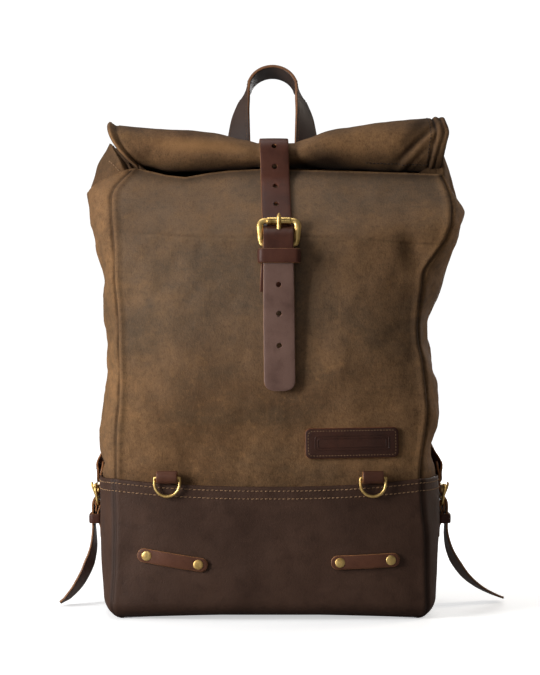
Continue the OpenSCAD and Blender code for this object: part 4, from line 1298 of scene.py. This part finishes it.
def keeper(tag, place, zc, body, k=1.0, wide=12.0, half=17.6, depth=13.4, y_in=-0.9, mat=None, th=2.2):
    """Band round the straps, a rounded loop in the local x-y plane."""
    pts = []
    yo = y_in - depth
    r = 3.6
    cs = [(half - r, yo + r, -90, 0), (half - r, y_in - r, 0, 90), (-half + r, y_in - r, 90, 180), (-half + r, yo + r, 180, 270)]
    for cx_, cy_, a0, a1 in cs:
        for a in np.linspace(a0, a1, 8):
            pts.append((cx_ + r * math.cos(math.radians(a)), cy_ + r * math.sin(math.radians(a))))
    p = np.array(pts + pts[:1])
    p = resample(np.column_stack([p, np.zeros(len(p))]), 73)[:-1]
    L = np.column_stack([p[:, 0], p[:, 1], np.full(len(p), zc)])
    # the front face bows out a little
    front = p[:, 1] < yo + 1.0
    L[:, 1] -= np.where(front, 0.8 * (1 - (p[:, 0] / half) ** 2), 0)
    C = np.array([place(q) for q in L])
    zup = unit(place((0, 0, 1.0)) - place((0, 0, 0.0)))
    W = np.tile(zup, (len(C), 1))
    T = unit(np.roll(C, -1, 0) - np.roll(C, 1, 0))
    N = unit(np.cross(T, W))
    c = C.mean(0)
    if ((C[0] - c) @ N[0]) < 0:
        N = -N
    o = strip("keeper_" + tag, C, W, N, wide * k, th * k, mat or STRAP, crown=0.3, close=True)
    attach(o, body)
    return o


cl_place = lambda q: arr(STX + 0.4 + q[0], FY + q[1], HZ + q[2])
fr, ro, pj = buckle("closure", cl_place, 20.0, ("closure_buckle", "closure_roller", "closure_prong"))
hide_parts("buckle_frame")
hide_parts("buckle_roller")
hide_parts("buckle_prong")
kp = keeper("closure", lambda q: arr(STX + 0.7 + q[0], FY + q[1], HZ + q[2]), -10.2, "bag", wide=12.8, half=18.0, depth=12.8, y_in=-1.6)
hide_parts("closure_keeper")

# ------------------------------------------------------------------ plates that follow the front
def plate(name, outline, cx, cz, rot, o, t, mat, body="bag", crown=0.0, bow=0.0, bow_half=20.0, rings=(0.0, 0.35, 0.8, 1.6, 3.0, 5.5)):
    """outline(d): closed 2D loop shrunk by d. A rounded plate lying on the front, o proud of the waxed leather."""
    ca, sa = math.cos(math.radians(rot)), math.sin(math.radians(rot))

    def lay(p2, h):
        out = []
        for a, b in p2:
            x, z = cx + a * ca - b * sa, cz + a * sa + b * ca
            p, n = surf(x, z, 0)
            lift = bow * max(0.0, 1 - (a / bow_half) ** 2)
            out.append(p + n * (o + h + lift))
        return out
    R, E = [], []
    hmap = {0.0: (-0.0, 0.35 * t)}
    R.append(lay(outline(0.25), 0.0)); E.append(0.6)
    R.append(lay(outline(0.0), 0.3 * t)); E.append(1.0)
    R.append(lay(outline(0.0), 0.72 * t)); E.append(1.0)
    R.append(lay(outline(0.22), 0.93 * t)); E.append(0.7)
    R.append(lay(outline(0.7), t)); E.append(0.0)
    for d in (1.6, 3.0, 5.0):
        q = outline(d)
        if q is None:
            break
        R.append(lay(q, t + crown * min(1.0, d / 5.0))); E.append(0.0)
    R = np.array(R)
    n, m = R.shape[:2]
    V = R.reshape(-1, 3)
    F = grid_faces(n, m, close_m=True)
    cen = np.array(lay([(0.0, 0.0)], t + crown))
    V = np.vstack([V, cen])
    # close the middle with a strip of quads between mirrored points, so that it follows the curve
    lastr = [(n - 1) * m + j for j in range(m)]
    half = m // 2
    for j in range(half - 1):
        a, b, c, d_ = lastr[j], lastr[j + 1], lastr[m - 2 - j], lastr[m - 1 - j]
        F.append((a, b, c, d_))
    ob = make(name, V, F, mat, {"edge": np.r_[np.repeat(E, m), 0.0], "wear": np.zeros(n * m + 1)})
    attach(ob, body)
    return ob, lay


def rrect(w, h, r, n=7):
    """Loop starts at the right end's lower part and runs so that point j mirrors point m-1-j across z = 0."""
    def f(d):
        W, H, R = w / 2 - d, h / 2 - d, max(0.4, r - d)
        if H < 0.6 or W < 0.6:
            return None
        up = []
        k = 26
        # upper half from right to left
        for a in np.linspace(4, 86, n):
            up.append((W - R + R * math.cos(math.radians(a)), H - R + R * math.sin(math.radians(a))))
        for s in np.linspace(0, 1, k)[1:-1]:
            up.append((W - R - (2 * W - 2 * R) * s, H))
        for a in np.linspace(94, 176, n):
            up.append((-W + R + R * math.cos(math.radians(a)), H - R + R * math.sin(math.radians(a))))
        dn = [(x, -z) for x, z in up[::-1]]
        return up + dn
    return f


# patch: blank, with a pressed border line and a stitched edge
pc = (73.4, 159.6)
pt, lay = plate("plain_patch", rrect(83.6, 27.4, 5.0), pc[0], pc[1], 0.9, 0.15, 2.5, PATCH, crown=0.5)
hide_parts("plain_patch")


def patch_line(w, h, r, hgt, n=150):
    q = rrect(w, h, r, 9)(0.0)
    q = np.array(q + q[:1])
    q = resample(np.column_stack([q, np.zeros(len(q))]), n)[:, :2]
    P = np.array(lay(q, hgt))
    N = []
    for a, b in q:
        N.append(surf(pc[0] + a, pc[1] + b)[1])
    return P, np.array(N)


P_, N_ = patch_line(78.2, 22.0, 3.4, 2.62, 140)
stitches("bag", P_, N_, pitch=2.7, run=1.9, r=0.3)


def raised(name, P, N, w, h, mat, closed=True):
    T = tangents(P)
    B = unit(np.cross(N, T))
    rings = []
    for i in range(len(P)):
        rings.append([P[i] + B[i] * w * a + N[i] * h * b for a, b in ((-1, -0.6), (-0.7, 0.4), (0, 1), (0.7, 0.4), (1, -0.6), (0, -0.8))])
    return loft(name, rings, mat, caps=False, attrs={"wear": np.full((len(P), 6), 0.12), "edge": np.zeros((len(P), 6))}, flip=True)


P_, N_ = patch_line(66.0, 12.6, 2.4, 3.0, 150)
b_ = raised("patch_border", P_, N_, 0.55, 0.4, PATCH)
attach(b_, "bag")
# a second pressed line inside the first
P_, N_ = patch_line(61.0, 8.0, 1.6, 3.05, 150)
b_ = raised("patch_inner_border", P_, N_, 0.45, 0.35, PATCH)
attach(b_, "bag")


# gear loops with domed rivets
def rivet(name, p, n, body="bag", r=4.5, mat=None):
    prof = [(-0.6, r * 0.9), (0.1, r), (0.38, r * 0.99), (0.62, r * 0.92), (0.82, r * 0.78), (0.97, r * 0.55), (1.05, r * 0.3), (1.08, 0.15)]
    o = lathe(name, prof, p, n, mat or BRASS, n=28)
    return o


rv = []
for tag, (cx, cz, rot) in (("left", (-86.9, 54.8, -9.2)), ("right", (85.0, 53.8, 2.4))):
    gl, glay = plate("gear_loop_" + tag, rrect(63.5 if tag == "left" else 61.4, 12.4, 6.1, 9), cx, cz, rot, 3.1, 2.3, TAB, crown=0.35, bow=1.1, bow_half=20.0)
    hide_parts("gear_loop_" + tag)
    for s in (-1, 1):
        a = s * (23.2 if tag == "left" else 22.6)
        p = np.array(glay([(a, 0.0)], 2.3 + 0.1))[0]
        x = cx + a * math.cos(math.radians(rot))
        z = cz + a * math.sin(math.radians(rot))
        rv.append(rivet("rivet", p, surf(x, z)[1]))
rvo = join("gear_loop_rivet_caps", rv)
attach(rvo, "bag")
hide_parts("gear_loop_rivets")

# ------------------------------------------------------------------ D rings
for tag, s in (("left", -1), ("right", 1)):
    jt = next(j for j in frame["joints"] if j["name"] == "ring_swing_" + tag)
    piv = arr(*jt["pos_m"]) * 1000
    ax = arr(*jt["axis"]) * -1.0
    outd = unit(np.cross(ax, arr(0, 0, 1)))
    if outd[1] > 0:
        outd = -outd
    pts = []
    for a in np.linspace(-11.3, 11.3, 12):
        pts.append((a, 0.0))
    for z in (-1.6, -3.3):
        pts.append((11.3, z))
    for a in np.linspace(0, -180, 26):
        pts.append((11.3 * math.cos(math.radians(a)), -5.2 + 11.3 * math.sin(math.radians(a))))
    for z in (-3.3, -1.6):
        pts.append((-11.3, z))
    C = np.array([piv + ax * a + arr(0, 0, 1) * z for a, z in pts])
    dr = tube("dring_" + tag, C, 1.35, BRASS, n=14, closed=True, up=outd)
    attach(dr, "ring_" + tag)
    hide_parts("dring_" + tag)
    # folded tab: up from behind the base edge, over the bar, down in front
    fold = [(1.7, -3.5), (2.5, -2.6), (2.85, -1.2), (2.95, 0.6)]
    for a in np.linspace(10, 170, 14):
        fold.append((3.0 * math.cos(math.radians(a)), 4.3 * math.sin(math.radians(a)) + 0.8))
    fold += [(-3.05, 0.4), (-2.6, -1.6), (-1.6, -3.0), (-0.4, -3.9)]
    C = np.array([piv - outd * a + arr(0, 0, 1) * z for a, z in fold])
    C = resample(C, 46)
    W = np.tile(ax, (46, 1))
    N = unit(np.cross(tangents(C), W))
    if (C[23] - piv) @ N[23] < 0:
        N = -N
    tb = strip("dring_tab_" + tag, C, W, N, 18.8, 2.2, TAB, crown=0.2)
    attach(tb, "bag")
    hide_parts("dring_tab_" + tag)

# ------------------------------------------------------------------ carry handle
HX, HY, HZ0, LEAN = 2.5, 65.7, 397.0, math.radians(20)


def hp_(x, d, h):
    return arr(HX + x, HY + d * math.cos(LEAN) + h * math.sin(LEAN), HZ0 + h * math.cos(LEAN) - d * math.sin(LEAN))


def hv_(x, d, h):
    return arr(x, d * math.cos(LEAN) + h * math.sin(LEAN), h * math.cos(LEAN) - d * math.sin(LEAN))


leg = [(1.2, 0, 33.6, 0), (20, 3, 34.4, 0.7), (45, 18, 33.8, 2.4), (62, 30, 33.5, 4.5), (76, 39, 33.0, 7.5), (89, 48, 32.1, 10), (102, 59, 30.0, 11.6), (110, 68, 28.1, 12.2)]
st = []
for h, a, x, d in leg:
    A = math.radians(a)
    st.append((*hp_(x, d, h), *hv_(math.cos(A), math.sin(A), 0), *hv_(math.sin(A), -math.cos(A), 0)))
for a in np.linspace(14, 166, 20):
    A = math.radians(a)
    st.append((*hp_(24.4 * math.cos(A), 12.5, 115 + 24.4 * math.sin(A)), *hv_(0, 1, 0), *hv_(math.cos(A), 0, math.sin(A))))
for h, a, x, d in leg[::-1]:
    A = math.radians(a)
    st.append((*hp_(-x, d, h), *hv_(-math.cos(A), math.sin(A), 0), *hv_(-math.sin(A), -math.cos(A), 0)))
st = catmull(np.array(st), 150)
C, W = st[:, :3], unit(st[:, 3:6])
T = tangents(C)
N = unit(np.cross(T, W))
if (st[75, 6:9] @ N[75]) < 0:
    N = -N
W = unit(np.cross(N, T)) * 1.0
hd = strip("carry_handle", C, W, N, 25.0, 3.3, HANDLE, crown=0.35)
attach(hd, "carry_handle")
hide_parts("handle")
for sgn in (-1, 1):
    stitches("carry_handle", (C + W * sgn * 9.9 + N * 1.72)[4:-4], N[4:-4], pitch=3.6, run=2.4, r=0.33, mat=THREAD_D)
# ends sewn flat on the back
ends = []
for s in (-1, 1):
    Ce = np.array([(HX + s * 33.6, 65.7, z) for z in np.linspace(350, 397.6, 16)])
    ends.append(strip("end", Ce, np.tile(arr(1, 0, 0), (16, 1)), np.tile(arr(0, 1, 0), (16, 1)), 25.0, 2.9, STRAP))
he = join("handle_strap_ends", ends)
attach(he, "bag")
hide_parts("handle_ends")

# ------------------------------------------------------------------ yoke on the back
def flat_plate(name, loop, y, t, mat, cx, cz, crown=0.4):
    R, E = [], []
    for d, h, e in ((0.3, 0.0, 0.6), (0, 0.3, 1), (0, 0.7, 1), (0.25, 0.93, 0.6), (0.8, 1.0, 0), (2, 1.0 + 0.4 * crown / t, 0), (5, 1.0 + crown / t, 0)):
        q = loop(d)
        R.append([(cx - a, y + h * t, cz + b) for a, b in q])
        E.append(e)
    R = np.array(R)
    n, m = R.shape[:2]
    F = grid_faces(n, m, close_m=True)
    lastr = [(n - 1) * m + j for j in range(m)]
    for j in range(m // 2 - 1):
        F.append((lastr[j], lastr[j + 1], lastr[m - 2 - j], lastr[m - 1 - j]))
    return make(name, R.reshape(-1, 3), F, mat, {"edge": np.repeat(E, m), "wear": np.zeros(n * m)})


yk = flat_plate("yoke_patch", rrect(134, 44, 8), 67.2, 2.6, BASE, 2.5, 366.0)
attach(yk, "bag")
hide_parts("yoke_patch")
q = rrect(127, 37, 5.5, 9)(0.0)
q = np.array(q + q[:1])
P_ = np.column_stack([2.5 - q[:, 0], np.full(len(q), 69.95), 366 + q[:, 1]])
stitches("bag", P_, np.tile(arr(0, 1, 0), (len(P_), 1)), pitch=3.4, run=2.3, r=0.36)
rv = [rivet("rivet", arr(2.5 + i * 33, 70.05, 366 + j * 14), arr(0, 1, 0), r=4.4) for i in (-1, 1) for j in (-1, 1)]
rvo = join("yoke_rivet_caps", rv)
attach(rvo, "bag")
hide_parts("yoke_rivets")

# ------------------------------------------------------------------ shoulder straps: padded, bound, stitched
SH = [((40, 69.2, 340), 34, 4.6), ((43, 73.5, 326), 38, 8), ((49, 79.5, 306), 43, 10), ((58, 84, 283), 46, 10), ((69, 86, 260), 46, 10), ((81, 85.6, 239), 43, 10), ((92, 82.5, 222), 37, 9), ((99.5, 79.6, 211), 30, 6)]
tab_ = np.array([(*c, w, t) for c, w, t in SH])
S = catmull(tab_, 70)
d_from = np.minimum(np.arange(70), 69 - np.arange(70)) / 69 * length(S[:, :3])
for tag, s in (("left", -1), ("right", 1)):
    C = S[:, :3] * arr(s, 1, 1)
    T = tangents(C)
    W = unit(np.cross(arr(0, 1, 0), T))
    N = unit(np.cross(T, W))
    N = N * np.sign(N[:, 1:2])
    rings, at = [], []
    for i in range(70):
        w, t = S[i, 3] / 2, S[i, 4] / 2
        k = min(1.0, math.sqrt(max(0.0, 1 - (1 - min(1.0, (S[i, 0] * 0 + min(i, 69 - i)) / 6.0)) ** 2)) * 0.75 + 0.25)
        ring, aa = [], []
        for a in np.linspace(0, 2 * math.pi, 36, endpoint=False):
            ca, sa = math.cos(a), math.sin(a)
            xx = w * np.sign(ca) * abs(ca) ** 0.45 * (k if k < 1 else 1)
            yy = t * np.sign(sa) * abs(sa) ** 0.75
            # flattened rim where the two faces are sewn together
            rim_ = max(0.0, (abs(xx) - (w - 4.2)) / 4.2)
            yy = yy * (1 - 0.72 * min(1, rim_ * 1.6)) + 0.0
            ring.append(C[i] + W[i] * xx + N[i] * yy)
            aa.append(0.35 * rim_)
        rings.append(ring)
        at.append(aa)
    o = loft("shoulder_strap_" + tag, rings, BASE, caps=True, attrs={"wear": at, "edge": np.zeros((70, 36))}, flip=(s < 0))
    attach(o, "bag")
    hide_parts("shoulder_strap_" + tag)
    for sg in (-1, 1):
        off = (S[:, 3] / 2 - 4.4)
        zoff = S[:, 4] / 2 * 0.62
        stitches("bag", (C + W * (sg * off)[:, None] + N * (zoff + 0.25)[:, None])[3:-3], N[3:-3], pitch=3.6, run=2.4, r=0.36)

# ------------------------------------------------------------------ side straps
K = 0.75
SIDE_Y, SIDE_Z = 18.0, 97.0


def side_x(y, o):
    yh_, yc_ = 65.0, -1.0
    return 141 + o + 15 * (1 - ((y - yc_) / (yh_ + o)) ** 4)


SS = side_x(SIDE_Y, 2.8) + 0.1
SWs, STs = SW * K, ST * K
SP = [(162.7, 10.2, 120), (162.7, 18, 126.5), (158.6, 33, 139), (153.4, 52, 155.3), (149.8, 62.3, 164.4), (143.3, 68.4, 171.6), (134, 71, 179.7), (120, 72.2, 191.2), (108, 75.4, 201.5), (99.8, 78.6, 212), (95.5, 80.4, 219)]
TX = SS + 9.9 * K + STs / 2
TT = SIDE_Z - 28.7 * K
TAILR = [(TX, TT, SIDE_Y), (TX + 0.6, 66, SIDE_Y + 0.5), (TX + 4, 52, SIDE_Y + 2.5), (TX + 11, 38, SIDE_Y + 5.5), (TX + 21, 25, SIDE_Y + 9.5), (TX + 34, 14.5, SIDE_Y + 14), (TX + 48, 7, SIDE_Y + 18.5), (TX + 56.5, 3.6, SIDE_Y + 21)]
TAILL = [(TX, TT, SIDE_Y), (TX - 0.1, 66, SIDE_Y - 0.3), (TX + 0.6, 54, SIDE_Y - 1), (TX + 4, 41, SIDE_Y - 2.2), (TX + 9, 29, SIDE_Y - 4), (TX + 16, 17.5, SIDE_Y - 6.4), (TX + 24, 8.5, SIDE_Y - 8.6), (TX + 31, 3.4, SIDE_Y - 10)]


def round_end(C, R=SWs / 2):
    """Share of the full width along a strap whose first end is a half circle."""
    d = np.concatenate([[0.0], np.cumsum(np.linalg.norm(np.diff(C, axis=0), axis=1))])
    return np.maximum(0.22, np.sqrt(1 - np.clip(1 - d / R, 0, 1) ** 2))


for tag, s in (("left", -1), ("right", 1)):
    place = lambda q, s=s: arr(s * (SS - q[1] * K), SIDE_Y + s * q[0] * K, SIDE_Z + q[2] * K)
    fr, ro, pj = buckle("side_" + tag, place, 0.0, ("side_buckle_" + tag, "side_roller_" + tag, "side_prong_" + tag), k=K)
    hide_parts("side_buckle_" + tag)
    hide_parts("side_roller_" + tag)
    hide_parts("side_prong_" + tag)
    kp = keeper("side_" + tag, place, -18.6, "bag", k=K, half=16.8, depth=13.4, y_in=-1.2)
    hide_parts("side_keeper_" + tag)
    # upright piece through the buckle, then the hanging end
    up = [(0.5, 52.5), (0.3, 47), (-0.6, 41.5), (-1.7, 36), (-1.9, 26), (-2.3, 18.6), (-6.0, 10.5), (-10.2, 4.6), (-11.6, -2), (-11.4, -12), (-11.35, -24), (-11.35, -27.5)]
    loc = catmull([(0, y, z) for y, z in up], 60)
    A = np.array([place(q_) for q_ in loc])
    B = np.array([(s * x, y, z) for x, z, y in (TAILR if s > 0 else TAILL)])
    full = np.vstack([A, catmull(B, 60)[1:]])
    full = resample(full, 130)
    T = tangents(full)
    Wd = np.tile(arr(0, 1, 0), (130, 1))
    tw = np.radians(24.0) * np.clip((74.0 - full[:, 2]) / 34.0, 0, 1) ** 1.2
    tw = tw * (1 - 0.35 * np.clip((22 - full[:, 2]) / 20, 0, 1))
    Wd = np.column_stack([-s * np.sin(tw), np.cos(tw), 0 * tw])
    N = unit(np.cross(T, Wd))
    N = N * np.sign((N * np.column_stack([s * np.cos(tw), np.sin(tw), 0 * tw])).sum(1)[:, None] + 1e-9)
    W = unit(np.cross(N, T))
    de = np.array([length(full[i:]) if i < 129 else 0.0 for i in range(130)])
    # pointed end
    w = np.where(de < 9, SWs * (0.38 + 0.62 * np.sqrt(np.clip(de / 9, 0, 1))), SWs)
    w = w * round_end(full)
    o = strip("side_strap_" + tag, full, W, N, w, STs, TAIL_PAINTED_SHEEN, crown=0.2)
    # darker strap colour from the keeper up; the hanging end below keeps the lighter copy whose colour is painted sheen
    o.data.materials.append(STRAP)
    for q in o.data.polygons:
        if q.center.z > 0.083:
            q.material_index = len(o.data.materials) - 1
    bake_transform(o, "bag", "side_tail_" + tag, start=(0, 0, 0.0755), end=(0, 0, 0.052))
    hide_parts("side_tail_" + tag)
    # slanting strap round the back corner to the padded strap
    SPt = []
    for x, y, z in SP:
        if y < 64:
            ring_ = section(np.full(M, float(z)))
            m_ = SEG_N == ("r" if s > 0 else "l")
            o_ = np.argsort(ring_[m_, 1])
            x = min(x, float(np.interp(y, ring_[m_, 1][o_], np.abs(ring_[m_, 0])[o_])) + float(np.interp(z, [126, 134, 150], [6.6, 4.9, 2.9])))
        SPt.append((s * x, y, z))
    Cs = catmull(SPt, 90)
    Tt = tangents(Cs)
    hh = unit(np.column_stack([Tt[:, 0], Tt[:, 1], np.zeros(90)]))
    Nn = np.column_stack([hh[:, 1], -hh[:, 0], np.zeros(90)])
    Nn = Nn * (1 if s > 0 else -1)
    Wn = unit(np.cross(Nn, Tt))
    o = strip("adjuster_" + tag, Cs, Wn, Nn, SWs * round_end(Cs), STs, STRAP, crown=0.2)
    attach(o, "bag")
    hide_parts("adjuster_" + tag)
    # two rows of stitches where it is sewn to the upright piece
    for ds in (-6.4, 6.4):
        ln = Cs[4:15] + Wn[4:15] * ds + Nn[4:15] * (STs / 2 + 0.15)
        stitches("bag", ln, Nn[4:15], pitch=2.8, run=1.9, r=0.3, mat=THREAD_D)
    # base tab
    tb = [(-0.9, -42), (-1.4, -30), (-2.8, -25), (-5.4, -22), (-5.4, -12), (-3.4, -6)]
    for a in np.linspace(-50, 230, 22):
        tb.append((-5 + 3.4 * math.cos(math.radians(a)), 3.4 * math.sin(math.radians(a))))
    tb.append((-7.4, -10))
    Ct = resample(np.array([place((0, y, z)) for y, z in tb]), 70)
    Wt = np.tile(arr(0, 1, 0), (70, 1))
    Nt = unit(np.cross(tangents(Ct), Wt))
    if Nt[40] @ (Ct[40] - place((0, -5, 0))) < 0:
        Nt = -Nt
    o = strip("side_tab_" + tag, Ct, Wt, Nt, SWs, STs * 0.85, STRAP)
    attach(o, "bag")
    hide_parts("side_tab_" + tag)

# stitches of one body become one piece
groups = {}
for b_, o in STITCH:
    groups.setdefault(b_, []).append(o)
for b_, os_ in groups.items():
    o = join("stitching_" + b_, os_)
    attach(o, b_)

# ------------------------------------------------------------------ studio
def floor_mat(name, albedo, glow):
    fm, nt, b = new_mat(name)
    g = G(nt)
    g.link(g.ramp(g.noise(3.0, 2, 0.5, g.coord()), [(0.0, (albedo,) * 3), (1.0, (albedo + 0.02,) * 3)]), b.inputs["Base Color"])
    b.inputs["Roughness"].default_value = 0.6
    b.inputs["Specular IOR Level"].default_value = 0.1
    b.inputs["Emission Color"].default_value = (1, 1, 1, 1)
    if glow:
        t = g.n("ShaderNodeTexCoord")
        ln = g.n("ShaderNodeVectorMath", operation="LENGTH")
        g.link(t.outputs["Object"], ln.inputs[0])
        g.link(g.math("MULTIPLY", g.ramp(g.math("DIVIDE", ln.outputs["Value"], 2.0), [(0.0, glow), (0.14, glow), (0.42, 1.0)]), 1.0), b.inputs["Emission Strength"])
    return fm


quad = [(-9000, -6000, 0), (9000, -6000, 0), (9000, 14000, 0), (-9000, 14000, 0)]
floor = make("floor", quad, [(0, 1, 2, 3)], floor_mat("floor_white", 0.9, 0.52), smooth=False)
floor.visible_diffuse = False
floor.visible_glossy = False
floor.visible_transmission = False
floor.visible_shadow = False
bounce = make("floor_bounce", [(x, y, -0.4) for x, y, z in quad], [(0, 1, 2, 3)], floor_mat("floor_dim", 0.3, 0.0), smooth=False)
bounce.visible_camera = False

world = bpy.data.worlds.new("studio")
scene.world = world
world.use_nodes = True
wn = world.node_tree
wn.nodes.clear()
bg1 = wn.nodes.new("ShaderNodeBackground")
bg1.inputs["Color"].default_value = (1, 1, 1, 1)
bg1.inputs["Strength"].default_value = 0.095
bg2 = wn.nodes.new("ShaderNodeBackground")
bg2.inputs["Color"].default_value = (1, 1, 1, 1)
bg2.inputs["Strength"].default_value = 1.05
lpn = wn.nodes.new("ShaderNodeLightPath")
mx = wn.nodes.new("ShaderNodeMixShader")
wo = wn.nodes.new("ShaderNodeOutputWorld")
wn.links.new(lpn.outputs["Is Camera Ray"], mx.inputs[0])
wn.links.new(bg1.outputs[0], mx.inputs[1])
wn.links.new(bg2.outputs[0], mx.inputs[2])
wn.links.new(mx.outputs[0], wo.inputs[0])


def area(name, loc, target, size, power, size_y=None, color=(1, 1, 1)):
    l = bpy.data.lights.new(name, "AREA")
    l.shape = "RECTANGLE"
    l.size = size
    l.size_y = size_y or size
    l.energy = power
    l.color = color
    o = bpy.data.objects.new(name, l)
    o.location = loc
    o.rotation_euler = (Vector(target) - Vector(loc)).to_track_quat("-Z", "Y").to_euler()
    coll.objects.link(o)
    return o


area("key", (-1.3, -0.78, 0.52), (-0.02, 0, 0.22), 0.55, 24.5, 0.8)
area("top", (-0.3, 0.1, 1.5), (0, 0.0, 0.3), 1.0, 6.2, 0.8)
area("rim", (1.1, 0.5, 0.7), (0, 0, 0.25), 0.5, 4.6, 0.7, (1.0, 0.9, 0.78))
area("front", (-0.3, -2.4, 0.9), (0, 0, 0.2), 1.4, 2.6, 1.0)
area("back", (0.4, 2.2, 0.5), (0, 0, 0.22), 1.0, 11, 0.8)
scene.view_settings.view_transform = "Standard"
scene.view_settings.look = "None"
scene.view_settings.exposure = 0.0
scene.view_settings.gamma = 1.0
